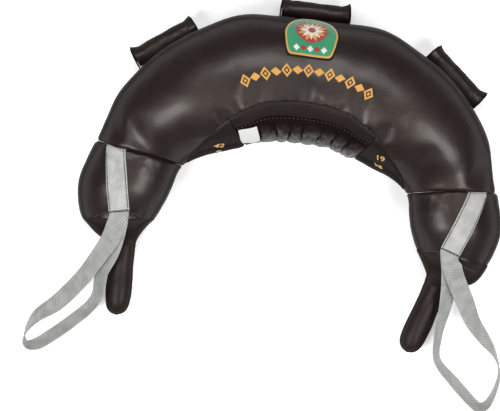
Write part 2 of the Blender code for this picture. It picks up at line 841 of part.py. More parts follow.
def flap_rows(which, end):
    """Flat end of the handle, from its outer corner in to a foot on the body."""
    centre, out, run = handle_frame(which)
    handle_angle = HANDLE_ANGLES[which]
    body_radius, body_width, body_depth = body_size(handle_angle)
    half = HANDLE_LENGTH / 2.0 - FLAP / 2.0
    lift = FLAP_GAP + FLAP / 2.0
    corner = centre + run * end * half + out * (HANDLE_ROLL_RADIUS + FLAP_CORNER)
    turn = HANDLE_TURNS[which]
    aside = centre.xy.length * math.sin(turn * DEGREE)
    outer = []
    root = []
    foot = []
    for share in spread(-1.0, 1.0, 4):
        height = share * FLAP_WIDTH / 2.0
        outer.append(corner + Vector((0.0, 0.0, height * FLAP_TAPER_SHARE)))
        girth = HANDLE_GIRTHS[which] + girth_of(height, handle_angle)
        radius = body_radius + body_width * math.cos(girth * DEGREE)
        root_angle = handle_angle + turn + math.asin((end * half - aside) / radius) / DEGREE
        foot_angle = root_angle + end * FLAP_FOOT / radius / DEGREE
        root.append(body_point(root_angle, girth, -lift))
        foot.append(body_point(foot_angle, girth, -lift))
    middle = [far.lerp(near, 0.5) for far, near in zip(outer, root)]
    return [outer, middle, root, foot]


def make_handle(which, leather, wool, collection, root):
    centre, out, run = handle_frame(which)
    axis = add_axis(which + "_handle_axis", centre, collection, root)
    half = HANDLE_LENGTH / 2.0 - FLAP - SEAM_GAP
    name = which + "_handle_cover"
    mesh = sheet_mesh(name, handle_rows(which, HANDLE_ROLL_RADIUS, half), closed=True)
    thicken(add_object(name, mesh, leather, collection, axis), HANDLE_WALL)
    name = which + "_handle_core"
    rows = handle_rows(which, HANDLE_ROLL_RADIUS - HANDLE_WALL - HANDLE_CORE_GAP, half)
    add_object(name, solid_mesh(name, rows), wool, collection, axis)
    for end_name, end in (("left", -1), ("right", 1)):
        name = which + "_handle_" + end_name + "_flap"
        mesh = sheet_mesh(name, flap_rows(which, end))
        thicken(add_object(name, mesh, leather, collection, root), FLAP, 0.0)


# Patch and label

def make_badge(cloth, collection, parent):
    """Patch sewn on the crown: round on its outer side, cut straight on its inner side."""
    radius, width, depth = body_size(0.0)
    reach = radius + width * math.cos(BADGE_GIRTH * DEGREE)
    half_height = BADGE_HEIGHT / (1.0 + BADGE_CUT_SHARE)
    rows = []
    for share in spread(-1.0, 1.0, 8):
        angle = BADGE_ANGLE + share * BADGE_WIDTH / 2.0 / reach / DEGREE
        chord = (1.0 - min(abs(share), BADGE_END_SHARE) ** BADGE_FULLNESS) ** (1.0 / BADGE_FULLNESS)
        row = []
        for column in spread(-chord, min(chord, BADGE_CUT_SHARE), 7):
            girth = BADGE_GIRTH + girth_of(column * half_height, 0.0)
            row.append(body_point(angle, girth, -BADGE_GAP - BADGE_THICKNESS))
        rows.append(row)
    mesh = sheet_mesh("badge", rows)
    thicken(add_object("badge", mesh, cloth, collection, parent), BADGE_THICKNESS)


def make_label(cloth, collection, parent):
    """Blank tab sewn at the left of the gathers."""
    radius, width, depth = body_size(LABEL_ANGLE)
    rows = []
    for along_share in spread(-1.0, 1.0, 2):
        row = []
        for across_share in spread(-1.0, 1.0, 4):
            girth = LABEL_GIRTH + girth_of(across_share * LABEL_DROP / 2.0, LABEL_ANGLE)
            reach = radius + width * math.cos(girth * DEGREE)
            slanted = along_share + across_share * LABEL_SLANT_SHARE
            angle = LABEL_ANGLE + slanted * LABEL_WIDTH / 2.0 / reach / DEGREE
            crest = gather_crest((180.0 - girth) / band_reach(angle)) - SEAM_DIP
            row.append(body_point(angle, girth, -crest - LAYER_GAP - LABEL_THICKNESS))
        rows.append(row)
    mesh = sheet_mesh("label", rows)
    thicken(add_object("label", mesh, cloth, collection, parent), LABEL_THICKNESS)


# The whole bag

def clear_scene():
    for obj in list(bpy.data.objects):
        bpy.data.objects.remove(obj, do_unlink=True)


def centre_on_ground(collection, root):
    """Move the bag so that the origin is below the middle of its bounding box."""
    bpy.context.view_layer.update()
    graph = bpy.context.evaluated_depsgraph_get()
    corners = []
    for obj in collection.objects:
        if obj.type == "MESH":
            placed = obj.evaluated_get(graph)
            corners.extend(placed.matrix_world @ vert.co for vert in placed.data.vertices)
    low = Vector([min(corner[axis] for corner in corners) for axis in range(3)])
    high = Vector([max(corner[axis] for corner in corners) for axis in range(3)])
    middle = (low + high) / 2.0
    root.location = -Vector((middle.x, middle.y, low.z))


def make_bag():
    clear_scene()
    collection = bpy.data.collections.new("bulgarian_bag")
    bpy.context.scene.collection.children.link(collection)
    root = bpy.data.objects.new("bag_frame", None)
    collection.objects.link(root)
    bpy.context.view_layer.update()
    leather = plain_material("leather", (0.022, 0.017, 0.015), 0.42)
    inner_leather = plain_material("inner leather", (0.030, 0.024, 0.021), 0.50)
    webbing = plain_material("grey webbing", (0.42, 0.43, 0.40), 0.85)
    strip = plain_material("grey strip", (0.50, 0.50, 0.47), 0.75)
    wool = plain_material("wool wadding", (0.62, 0.56, 0.46), 0.95)
    canvas = plain_material("sack canvas", (0.50, 0.43, 0.30), 0.90)
    patch = plain_material("patch cloth", (0.03, 0.33, 0.18), 0.80)
    tab = plain_material("white tab", (0.80, 0.80, 0.77), 0.80)
    make_panels(leather, inner_leather, collection, root)
    make_filling(wool, canvas, collection, root)
    for side in SIDES:
        make_grip(side, leather, wool, collection, root)
        make_strap(side, webbing, strip, collection, root)
    for which in HANDLE_ANGLES:
        make_handle(which, leather, wool, collection, root)
    make_badge(patch, collection, root)
    make_label(tab, collection, root)
    centre_on_ground(collection, root)


make_bag()
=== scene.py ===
"""Bulgarian bag lying on its back: a packed leather crescent with a gathered inner gusset,
two grips, two webbing loops and three rolled handles."""

import math

import bmesh
import bpy
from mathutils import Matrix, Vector, noise
from mathutils.bvhtree import BVHTree


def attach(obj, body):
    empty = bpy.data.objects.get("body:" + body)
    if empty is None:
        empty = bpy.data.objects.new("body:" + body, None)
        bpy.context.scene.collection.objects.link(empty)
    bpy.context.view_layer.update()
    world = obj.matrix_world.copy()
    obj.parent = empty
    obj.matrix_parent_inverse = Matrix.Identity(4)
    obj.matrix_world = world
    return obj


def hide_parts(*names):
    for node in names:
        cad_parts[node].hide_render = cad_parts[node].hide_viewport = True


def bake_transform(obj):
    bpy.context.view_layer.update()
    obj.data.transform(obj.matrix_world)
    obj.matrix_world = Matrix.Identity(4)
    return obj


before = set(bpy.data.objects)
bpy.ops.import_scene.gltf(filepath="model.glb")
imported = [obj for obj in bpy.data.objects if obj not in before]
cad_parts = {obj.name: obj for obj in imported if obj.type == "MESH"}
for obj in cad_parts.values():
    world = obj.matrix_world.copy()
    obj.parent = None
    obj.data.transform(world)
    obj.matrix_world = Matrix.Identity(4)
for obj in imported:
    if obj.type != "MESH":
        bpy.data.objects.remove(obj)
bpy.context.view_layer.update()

# The crescent is dark brown leather: one long panel and a tube at each end, sewn inside out,
# turned and packed hard with sand and wool. The seams sink in and the leather swells between
# them, and the weight flattens its back on the floor.

DEGREE = math.pi / 180.0
SIDES = {"left": -1, "right": 1}
ARC_CENTRE = Vector((0.02014, -0.04315, 0.0))
ARC_RADIUS = 0.2600
BODY_HALF_WIDTH = 0.0995
BODY_HALF_DEPTH = 0.0840
FLOOR_SINK = 0.0060
FLOOR_CLEARANCE = 0.0004
END_DRAW_IN = {"left": -0.0065, "right": 0.0045}
SEAM_ANGLE = 72.4
SEAM_SLANT = 2.8
SEAM_RISE = {"left": 1.3, "right": 0.0}
CREASE_ANGLE = 95.5
GUSSET_TIP_ANGLE = 67.0
SEAM_GAP = 0.0005
SEAM_DEPTH = 0.0020
CROSS_SEAM_DEPTH = 0.0034
SEAM_ROLL = 0.0048
SEAM_STEPS = (0.0, 0.0007, 0.0017, 0.0030, SEAM_ROLL)
SEAM_ALLOWANCE = 0.0040
CUT_PITCH = 0.0052
LEATHER_COLOUR = (0.0150, 0.0096, 0.0083)

BODY_SHARES = (
    (-10.0, 0.853, 0.960, 0.985),
    (0.0, 0.840, 0.946, 0.976),
    (10.0, 0.853, 0.960, 0.985),
    (20.0, 0.881, 1.000, 1.000),
    (30.0, 0.885, 0.985, 1.000),
    (40.0, 0.905, 0.952, 0.988),
    (50.0, 0.925, 0.916, 0.952),
    (60.0, 0.962, 0.815, 0.869),
    (70.0, 0.980, 0.687, 0.762),
    (80.0, 0.986, 0.708, 0.762),
    (87.0, 0.996, 0.700, 0.750),
    (95.5, 1.002, 0.598, 0.655),
)
GUSSET_SHARES = (
    (-17.0, 0.353, 0.265),
    (0.0, 0.370, 0.275),
    (17.0, 0.353, 0.265),
    (28.0, 0.342, 0.256),
    (38.0, 0.315, 0.240),
    (48.0, 0.270, 0.220),
    (56.0, 0.215, 0.180),
    (63.0, 0.140, 0.110),
    (67.0, 0.040, 0.030),
)


def clamped(value):
    return min(max(value, 0.0), 1.0)


def eased(value):
    """A share that leaves 0 and reaches 1 gently."""
    share = clamped(value)
    return share * share * (3.0 - 2.0 * share)


def table_row(table, place):
    """Values of a table at a place, on a smooth curve through its rows."""
    last = len(table) - 1
    index = 0
    while index < last - 1 and place > table[index + 1][0]:
        index += 1
    start, end = table[index], table[index + 1]
    before, after = table[max(index - 1, 0)], table[min(index + 2, last)]
    span = end[0] - start[0]
    share = clamped((place - start[0]) / span)
    rest = share - 1.0
    values = []
    for column in range(1, len(start)):
        leave = span * (end[column] - before[column]) / (end[0] - before[0])
        arrive = span * (after[column] - start[column]) / (after[0] - start[0])
        value = start[column] + (end[column] - start[column]) * eased(share)
        values.append(value + share * rest * (leave * rest + arrive * share))
    return values


def spread(first, last, count):
    return [first + (last - first) * step / count for step in range(count + 1)]


def side_name(angle):
    return "right" if angle > 0 else "left"


def body_size(angle):
    radius, width, depth = table_row(BODY_SHARES, abs(angle))
    return radius * ARC_RADIUS, width * BODY_HALF_WIDTH, depth * BODY_HALF_DEPTH


def draw_in(angle):
    return END_DRAW_IN[side_name(angle)] * eased((abs(angle) / CREASE_ANGLE - 0.5) * 2.0)


def body_point(angle, girth, lift=0.0):
    """A point of the leather: degrees from the crown, degrees round from the outer side."""
    radius, width, depth = body_size(angle)
    reach = radius - draw_in(angle) + (width + lift) * math.cos(girth * DEGREE)
    height = depth - FLOOR_SINK + (depth + lift) * math.sin(girth * DEGREE)
    turn = angle * DEGREE
    place = Vector((reach * math.sin(turn), reach * math.cos(turn), 0.0)) + ARC_CENTRE
    place.z = max(height, FLOOR_CLEARANCE - min(lift, 0.0))
    return place


def body_normal(angle, girth):
    radius, width, depth = body_size(angle)
    across = math.cos(girth * DEGREE) / width
    turn = angle * DEGREE
    return Vector((
        across * math.sin(turn),
        across * math.cos(turn),
        math.sin(girth * DEGREE) / depth,
    )).normalized()


def arc_reach(angle, girth):
    """Distance from the middle of the crescent's arc, which measures lengths along it."""
    radius, width, depth = body_size(angle)
    return radius + width * math.cos(girth * DEGREE)


def arc_angle(place):
    """Degrees round the crescent from the crown, the same on both sides."""
    return abs(math.atan2(place.x - ARC_CENTRE.x, place.y - ARC_CENTRE.y)) / DEGREE


def girth_of(length, angle):
    radius, width, depth = body_size(angle)
    return 2.0 * length / (width + depth) / DEGREE


def angle_of(length):
    return length / ARC_RADIUS / DEGREE


def gusset_reach(angle):
    return table_row(GUSSET_SHARES, abs(angle))[0] * 180.0


def band_reach(angle):
    return table_row(GUSSET_SHARES, abs(angle))[1] * 180.0


def seam_slant(side, girth):
    """How far the slanted cross seam lies from its middle angle, at a girth."""
    outer = max(math.cos(girth * DEGREE), 0.0) ** 1.5
    return SEAM_SLANT * math.cos(girth * DEGREE) - SEAM_RISE[side] * outer


def seam_places(length, pitch, ends=(True, True)):
    """Places from 0 to length, close together where the leather rolls into a seam."""
    first = list(SEAM_STEPS) if ends[0] else [0.0]
    last = [length - place for place in reversed(SEAM_STEPS)] if ends[1] else [length]
    count = max(round((last[0] - first[-1]) / pitch), 1)
    return first[:-1] + spread(first[-1], last[0], count) + last[1:]


def seam_dip(distance, depth=SEAM_DEPTH, roll=SEAM_ROLL):
    """How deep the leather sinks at a distance from its seam."""
    return depth * max(1.0 - distance / roll, 0.0) ** 2.2


def unevenness(place, size, height):
    return height * noise.noise(place / size)


def as_object(name, bm, smooth=True):
    mesh = bpy.data.meshes.new(name)
    bm.to_mesh(mesh)
    bm.free()
    if smooth:
        mesh.shade_smooth()
    piece = bpy.data.objects.new(name, mesh)
    bpy.context.scene.collection.objects.link(piece)
    return piece


def leather_cloth(name, rows, closed=False, flip=False):
    """A piece of leather from rows of points, with its length and width as a UV map."""
    bm = bmesh.new()
    uv = bm.loops.layers.uv.new("cut")
    grid = [[bm.verts.new(point) for point in row] for row in rows]
    columns = len(rows[0])
    along = [0.0]
    middle = columns // 2
    for upper, lower in zip(rows, rows[1:]):
        along.append(along[-1] + (lower[middle] - upper[middle]).length)
    across = [0.0]
    for column in range(columns):
        near = (column + 1) % columns
        row = rows[len(rows) // 2]
        across.append(across[-1] + (row[near] - row[column]).length)
    for index, (upper, lower) in enumerate(zip(grid, grid[1:])):
        for column in range(columns if closed else columns - 1):
            near = (column + 1) % columns
            corners = [upper[column], upper[near], lower[near], lower[column]]
            places = [
                (across[column], along[index]), (across[column + 1], along[index]),
                (across[column + 1], along[index + 1]), (across[column], along[index + 1]),
            ]
            if flip:
                corners.reverse()
                places.reverse()
            face = bm.faces.new(corners)
            for loop, place in zip(face.loops, places):
                loop[uv].uv = place
    return as_object(name, bm)


HIDE = {
    "quality": 4,
    "mass": 0.35,
    "tension_stiffness": 30.0,
    "compression_stiffness": 30.0,
    "shear_stiffness": 12.0,
    "bending_stiffness": 12.0,
    "vertex_group_mass": "sewn",
    "use_pressure": True,
}
PACKING_STEPS = 18
HELD_ROWS = 3
DRAWN_SHARE = 0.6


def settle(piece, held, slack, push, cap):
    """Lets the filling push the leather out between the seams that hold its edges."""
    group = piece.vertex_groups.new(name="sewn")
    for index, weight in held.items():
        group.add([index], weight, "REPLACE")
    start = [vert.co.copy() for vert in piece.data.vertices]
    cloth = piece.modifiers.new("Packing", "CLOTH")
    for setting, value in HIDE.items():
        setattr(cloth.settings, setting, value)
    cloth.settings.shrink_min = -slack
    cloth.settings.uniform_pressure_force = push
    cloth.settings.effector_weights.gravity = 0.0
    cloth.collision_settings.use_collision = False
    for step in range(1, PACKING_STEPS + 1):
        bpy.context.scene.frame_set(step)
    bpy.context.view_layer.update()
    graph = bpy.context.evaluated_depsgraph_get()
    formed = [vert.co.copy() for vert in piece.evaluated_get(graph).data.vertices]
    piece.modifiers.remove(cloth)
    bpy.context.scene.frame_set(1)
    normals = [vert.normal.copy() for vert in piece.data.vertices]
    for index, (vert, first, last) in enumerate(zip(piece.data.vertices, start, formed)):
        move = last - first
        if move.length > cap:
            move *= cap / move.length
        drawn = cap * DRAWN_SHARE * (1.0 - held.get(index, 0.0))
        vert.co = first + move - normals[index] * drawn
        vert.co.z = max(vert.co.z, FLOOR_CLEARANCE)
    piece.vertex_groups.clear()


def shaped_mesh(piece):
    bpy.context.view_layer.update()
    graph = bpy.context.evaluated_depsgraph_get()
    return bpy.data.meshes.new_from_object(piece.evaluated_get(graph))


def finish_mesh(piece, thickness=0.0):
    """Smooths and thickens a piece, and keeps the result as its own mesh."""
    if thickness:
        wall = piece.modifiers.new("Wall", "SOLIDIFY")
        wall.thickness = thickness
        wall.offset = 0.0
    fine = piece.modifiers.new("Fine", "SUBSURF")
    fine.levels = 1
    fine.render_levels = 1
    fine.boundary_smooth = "PRESERVE_CORNERS"
    mesh = shaped_mesh(piece)
    piece.modifiers.clear()
    piece.data = mesh
    mesh.shade_smooth()


SEAM_SPREAD_SHARE = 0.7


def turn_in(piece, depth=SEAM_ALLOWANCE, last_angle=180.0):
    """Folds the raw edges of a piece down into the bag, as a sewn edge lies."""
    bm = bmesh.new()
    bm.from_mesh(piece.data)
    bm.normal_update()
    edges = [edge for edge in bm.edges
             if edge.is_boundary and arc_angle(edge.verts[0].co) < last_angle]
    downs, outs = {}, {}
    for edge in edges:
        edge.smooth = False
        first, last = edge.verts
        run = (last.co - first.co).normalized()
        out = (first.co + last.co) / 2.0 - edge.link_faces[0].calc_center_median()
        out = (out - run * out.dot(run)).normalized()
        for vert in edge.verts:
            key = tuple(vert.co)
            downs[key] = vert.normal.copy()
            outs[key] = outs.get(key, Vector((0.0, 0.0, 0.0))) + out
    folded = bmesh.ops.extrude_edge_only(bm, edges=edges)["geom"]
    for vert in folded:
        if isinstance(vert, bmesh.types.BMVert):
            key = tuple(vert.co)
            vert.co += outs[key].normalized() * SEAM_GAP * SEAM_SPREAD_SHARE - downs[key] * depth
            vert.co.z = max(vert.co.z, FLOOR_CLEARANCE)
    for face in bm.faces:
        face.smooth = True
    bm.to_mesh(piece.data)
    bm.free()


class Finish:
    """A material in the making: its nodes, and the shader that they feed."""

    def __init__(self, name, roughness, sheen=0.0):
        self.material = bpy.data.materials.new(name)
        self.material.use_nodes = True
        self.nodes = self.material.node_tree.nodes
        self.link = self.material.node_tree.links.new
        self.inputs = self.nodes["Principled BSDF"].inputs
        self.inputs["Roughness"].default_value = roughness
        self.inputs["Sheen Weight"].default_value = sheen

    def add(self, kind, source=None, **values):
        """Adds a node with values for its sockets and settings, fed by a source."""
        node = self.nodes.new("ShaderNode" + kind)
        for key, value in values.items():
            if key in node.inputs:
                node.inputs[key].default_value = value
            else:
                setattr(node, key, value)
        if source is not None:
            self.link(source, node.inputs[0])
        return node

    def place(self):
        return self.add("TexCoord").outputs["Object"]

    def cut_place(self):
        """Place on the flat cut piece, in metres across and along it."""
        return self.add("UVMap", uv_map="cut").outputs["UV"]

    def math(self, operation, *terms):
        node = self.add("Math", operation=operation)
        for socket, term in zip(node.inputs, terms):
            if isinstance(term, float):
                socket.default_value = term
            else:
                self.link(term, socket)
        return node.outputs["Value"]

    def wave(self, length, pitch):
        return self.math("SINE", self.math("MULTIPLY", length, 2.0 * math.pi / pitch))

    def grade(self, source, socket, start, end, low, high):
        """Takes a socket of the shader from low to high while the source runs start to end."""
        level = self.add("MapRange", source)
        ends = (("From Min", start), ("From Max", end), ("To Min", low), ("To Max", high))
        for name, value in ends:
            level.inputs[name].default_value = value
        self.link(level.outputs["Result"], self.inputs[socket])

    def tones(self, source, colour, low, high, start=0.0, end=1.0):
        """Colours the surface with shares of a colour, low at start and high at end."""
        ramp = self.add("ValToRGB", source)
        for element, share, place in zip(ramp.color_ramp.elements, (low, high), (start, end)):
            element.position = place
            element.color = (*[part * share for part in colour], 1.0)
        self.link(ramp.outputs["Color"], self.inputs["Base Color"])

    def relief(self, *layers):
        """Raises the surface by layers of source, strength and height, the finest first."""
        normal = None
        for source, strength, height in layers:
            bump = self.add("Bump", Strength=strength, Distance=height)
            self.link(source, bump.inputs["Height"])
            if normal is not None:
                self.link(normal, bump.inputs["Normal"])
            normal = bump.outputs["Normal"]
        self.link(normal, self.inputs["Normal"])


EDGE_SLOPES = (0.08, 0.58)
EDGE_SHINE_SHARE = 0.03


def leather_finish(name, colour, roughness, grain, shine=0.38, coat=0.35):
    """Semi-gloss cowhide: pebbled grain, fine creases, cloudy sheen and soft dents."""
    finish = Finish(name, roughness)
    facing = finish.add("LayerWeight", Blend=0.5).outputs["Facing"]
    for socket, full in (("Specular IOR Level", shine), ("Coat Weight", shine * coat)):
        finish.grade(facing, socket, *EDGE_SLOPES, full, full * EDGE_SHINE_SHARE)
    finish.inputs["Specular Tint"].default_value = (1.0, 0.90, 0.84, 1.0)
    finish.inputs["Coat Roughness"].default_value = 0.22
    place = finish.place()
    clouds = finish.add("TexNoise", place, Scale=17.0, Detail=4.0, Roughness=0.55)
    pores = finish.add("TexVoronoi", place, Scale=620.0)
    creases = finish.add("TexNoise", place, Scale=150.0, Detail=5.0, Roughness=0.6)
    dents = finish.add("TexNoise", place, Scale=34.0, Detail=2.0, Roughness=0.5, Distortion=0.6)
    finish.tones(clouds.outputs["Fac"], colour, 0.78, 1.28, 0.30, 0.72)
    finish.grade(clouds.outputs["Fac"], "Roughness", 0.0, 1.0, roughness - 0.06, roughness + 0.08)
    finish.relief(
        (pores.outputs["Distance"], grain, 0.00022),
        (creases.outputs["Fac"], grain * 0.8, 0.0006),
        (dents.outputs["Fac"], 0.3, 0.0022),
    )
    return finish


leather = leather_finish("body leather", LEATHER_COLOUR, 0.39, 0.42).material


def panel_edge(angle):
    """Girth at which the long panel is sewn to the gusset, or to its own other edge."""
    gap = girth_of(SEAM_GAP, angle) / 2.0
    reach = gusset_reach(angle) if abs(angle) <= GUSSET_TIP_ANGLE else 0.0
    return 180.0 - reach - gap


PUCKERS = ((0.0085, 0.0008), (0.019, 0.0012))
PUCKER_REACH = 0.018
DENTS = ((0.062, 0.0016), (0.024, 0.0004))


def puckered(point, normal, distance, strength=1.0):
    """Small puckers beside a seam and broad soft dents everywhere."""
    near = math.exp(-distance / PUCKER_REACH) * strength
    lift = sum(unevenness(point, size, height * near) for size, height in PUCKERS)
    lift += sum(unevenness(point, size, height) for size, height in DENTS)
    moved = point + normal * lift
    moved.z = max(moved.z, FLOOR_CLEARANCE)
    return moved


def long_panel():
    half = SEAM_ANGLE - angle_of(SEAM_GAP) / 2.0
    length = 2.0 * half * DEGREE * ARC_RADIUS
    places = seam_places(length, CUT_PITCH)
    rows = []
    for place in places:
        angle = angle_of(place) - half
        fade = clamped((abs(angle) - GUSSET_TIP_ANGLE) / (half - GUSSET_TIP_ANGLE))
        side = side_name(angle)
        edge = panel_edge(angle)
        girth_length = 2.0 * edge / girth_of(1.0, angle)
        row = []
        for share in long_panel_columns:
            girth = edge * (2.0 * share - 1.0)
            across = girth_length * min(share, 1.0 - share)
            end = min(place, length - place)
            dip = max(seam_dip(end, CROSS_SEAM_DEPTH), seam_dip(across))
            slant = SIDES[side] * fade * seam_slant(side, girth)
            point = body_point(angle + slant, girth, -dip)
            row.append(puckered(point, body_normal(angle, girth), min(end, across)))
        rows.append(row)
    return rows


CROWN_GIRTH_LENGTH = 2.0 * panel_edge(0.0) / girth_of(1.0, 0.0)
long_panel_columns = [
    place / CROWN_GIRTH_LENGTH for place in seam_places(CROWN_GIRTH_LENGTH, CUT_PITCH)
]


def edge_hold(rows, columns, sides=True):
    """Weights that hold a piece's sewn edges, fading over the rows beside them."""
    held = {}
    for row in range(rows):
        for column in range(columns):
            steps = min(row, rows - 1 - row)
            if sides:
                steps = min(steps, column, columns - 1 - column)
            weight = max(1.0 - steps / HELD_ROWS, 0.0)
            if weight > 0.0:
                held[row * columns + column] = weight
    return held


def dress(piece, material, slot, *nodes, body="bag_body", bend=None, fill=None):
    """Gives a piece its material, hangs it on its body or, with a bend, bakes its place into it,
    and hides the nodes it stands for.
    """
    piece.data.materials.append(material)
    if bend:
        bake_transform(piece)
    else:
        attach(piece, body)
    if nodes:
        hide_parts(*nodes)


PACKING_PUSH = 1.2

panel_rows = long_panel()
centre_panel = leather_cloth("crescent_leather", panel_rows)
panel_hold = edge_hold(len(panel_rows), len(panel_rows[0]))
settle(centre_panel, panel_hold, slack=0.004, push=PACKING_PUSH, cap=0.0017)
finish_mesh(centre_panel)
turn_in(centre_panel)
dress(centre_panel, leather, "leather", "centre_panel", fill=0.95)

# The tube at each end is sewn to the long panel and drawn in at the crease, where its leather
# runs on into the neck. The crease shows only beside the webbing, as a soft puckered fold.

END_COLUMNS = 96
CREASE_DEPTH = 0.0012
CREASE_ROLL = 0.0090
CREASE_GIRTHS = {"left": (50.0, 138.0), "right": (44.0, 160.0)}
CREASE_FADE = 12.0
CREASE_ARCS = {
    "left": ((40.0, 96.2), (53.9, 95.2), (66.4, 94.2), (78.6, 93.6), (92.8, 93.4),
             (108.5, 93.5), (121.3, 94.1), (133.8, 95.6), (145.0, 96.8)),
    "right": ((36.0, 98.4), (46.4, 98.3), (66.5, 97.9), (80.7, 97.0), (98.0, 95.0),
              (114.6, 94.5), (133.5, 95.3), (158.5, 95.5), (170.0, 95.5)),
}
CREASE_PUCKERS = ((1.3, 0.0020), (3.1, 0.0012))
CREASE_PUCKER_REACH = 0.0130
CORNER_DEPTH = 0.0030
CORNER_REACH = 0.0050


def crease_share(side, girth):
    """How much of the crease shows at a girth: all of it beside the webbing, none below."""
    first, last = CREASE_GIRTHS[side]
    inside = min(girth - first, last - girth)
    return eased(inside / CREASE_FADE + 0.5)


def from_crease(side, girth, past):
    """Distance from the crease of a place that lies so far past the tube's end."""
    girth = min(girth, 360.0 - girth)
    arc = table_row(CREASE_ARCS[side], girth)[0]
    return abs(past - (arc - CREASE_ANGLE) * DEGREE * ARC_RADIUS)


def crease_dip(side, girth, past):
    distance = from_crease(side, girth, past)
    return seam_dip(distance, CREASE_DEPTH, CREASE_ROLL) * crease_share(side, girth)


def corner_dip(girth, distance):
    """How far the sides are drawn in at the crease, where the neck begins."""
    return CORNER_DEPTH * math.exp(-distance / CORNER_REACH) * math.cos(girth * DEGREE) ** 2


def crease_puckers(side, girth, past):
    """Short folds that run off the crease and fade along the leather."""
    distance = from_crease(side, girth, past)
    near = math.exp(-distance / CREASE_PUCKER_REACH) * min(distance / 0.0030, 1.0)
    turn = girth * DEGREE
    round_it = Vector((math.cos(turn) * 5.5, math.sin(turn) * 5.5, SIDES[side] * 4.0))
    ripple = sum(height * noise.noise(round_it * often) for often, height in CREASE_PUCKERS)
    return near * crease_share(side, girth) * ripple


def end_tube(side):
    start = SEAM_ANGLE + angle_of(SEAM_GAP) / 2.0
    end = CREASE_ANGLE
    length = (end - start) * DEGREE * ARC_RADIUS
    rows = []
    for place in seam_places(length, CUT_PITCH * 0.7):
        row = []
        for step in range(END_COLUMNS):
            girth = 360.0 * step / END_COLUMNS
            slanted = start + seam_slant(side, girth)
            angle = SIDES[side] * (slanted + (end - slanted) * place / length)
            past = place - length
            dip = max(seam_dip(place, CROSS_SEAM_DEPTH), crease_dip(side, girth, past))
            dip += corner_dip(girth, -past)
            point = body_point(angle, girth, crease_puckers(side, girth, past) - dip)
            row.append(puckered(point, body_normal(angle, girth), place, strength=1.6))
        rows.append(row)
    return rows


end_panels = {}
for side, sign in SIDES.items():
    rows = end_tube(side)
    tube = leather_cloth(side + "_end_leather", rows, closed=True, flip=sign < 0)
    tube_hold = edge_hold(len(rows), END_COLUMNS, sides=False)
    settle(tube, tube_hold, slack=0.005, push=PACKING_PUSH, cap=0.0012)
    finish_mesh(tube)
    turn_in(tube, last_angle=(SEAM_ANGLE + CREASE_ANGLE) / 2.0)
    dress(tube, leather, "leather", side + "_end_panel", fill=0.9)
    end_panels[side] = tube

# The gusset closes the inner side: a smooth band sewn along the front and the back, and a
# pointed piece at each end. It is the same hide, a little softer, and lies flatter than the
# long panel.

GATHER_ANGLE = 38.0
GUSSET_RADIUS = 0.18
GUSSET_BULGE = {"left": 0.0034, "right": 0.0016}
GUSSET_BULGE_ANGLE = 3.0
GUSSET_BULGE_REACH = 6.0
GUSSET_END_COLUMNS = 24
# Painted shade: the gusset is the body's hide coloured darker, for the shade that lies on the
# inner side.
GUSSET_SHADED_COLOUR = (0.0115, 0.0074, 0.0066)
gusset_shaded_leather = leather_finish("gusset leather", GUSSET_SHADED_COLOUR, 0.50, 0.35, 0.18).material


def gusset_band(face):
    end = GATHER_ANGLE - angle_of(SEAM_GAP) / 2.0
    length = 2.0 * end * DEGREE * GUSSET_RADIUS
    rows = []
    for place in seam_places(length, CUT_PITCH):
        angle = end * (2.0 * place / length - 1.0)
        gap = girth_of(SEAM_GAP, angle) / 2.0
        inner, outer = band_reach(angle) + gap, gusset_reach(angle) - gap
        width = (outer - inner) / girth_of(1.0, angle)
        row = []
        for across in seam_places(width, CUT_PITCH * 0.7):
            reach = inner + (outer - inner) * across / width
            dip = max(seam_dip(min(across, width - across)), seam_dip(min(place, length - place)))
            point = body_point(angle, 180.0 - face * reach, -dip)
            normal = body_normal(angle, 180.0 - face * reach)
            row.append(puckered(point, normal, min(across, width - across)))
        rows.append(row)
    return rows


def even_columns(rows):
    """Rows cut with the same number of points each, as the narrowest one has."""
    count = min(len(row) for row in rows)
    even = []
    for row in rows:
        picked = []
        for step in range(count):
            place = step * (len(row) - 1) / (count - 1)
            index = min(int(place), len(row) - 2)
            picked.append(row[index].lerp(row[index + 1], place - index))
        even.append(picked)
    return even


for name, face in (("front", 1), ("back", -1)):
    rows = even_columns(gusset_band(face))
    band = leather_cloth("gusset_" + name + "_band_leather", rows, flip=face > 0)
    finish_mesh(band)
    turn_in(band)
    dress(band, gusset_shaded_leather, "inner_leather", "gusset_" + name + "_band")


def gusset_end(side):
    start, end = GATHER_ANGLE + angle_of(SEAM_GAP) / 2.0, GUSSET_TIP_ANGLE
    length = (end - start) * DEGREE * GUSSET_RADIUS
    rows = []
    for place in seam_places(length, CUT_PITCH * 0.8, ends=(True, False)):
        angle = start + (end - start) * place / length
        edge = gusset_reach(angle) - girth_of(SEAM_GAP, angle) / 2.0
        row = []
        for share in spread(-1.0, 1.0, GUSSET_END_COLUMNS):
            share = math.copysign(1.0 - (1.0 - abs(share)) ** 1.35, share)
            across = edge * (1.0 - abs(share)) / girth_of(1.0, angle)
            dip = max(seam_dip(across), seam_dip(place))
            girth = 180.0 + edge * share
            from_bulge = (angle - start - GUSSET_BULGE_ANGLE) / GUSSET_BULGE_REACH
            swell = GUSSET_BULGE[side] * math.exp(-from_bulge ** 2)
            swell *= math.cos(share * math.pi / 2.0) ** 1.5
            point = body_point(SIDES[side] * angle, girth, swell - dip)
            normal = body_normal(SIDES[side] * angle, girth)
            row.append(puckered(point, normal, min(across, place)))
        rows.append(row)
    return rows


gusset_ends = []
for side, sign in SIDES.items():
    point_piece = leather_cloth(side + "_gusset_end_leather", gusset_end(side), flip=sign < 0)
    finish_mesh(point_piece)
    turn_in(point_piece)
    dress(point_piece, gusset_shaded_leather, "inner_leather", side + "_gusset_end")
    gusset_ends.append(point_piece)

# Across the middle of the inner side the leather is drawn up on its stitch line, so that the
# packed bag can curve. It stands in eight deep folds with smaller creases between them.

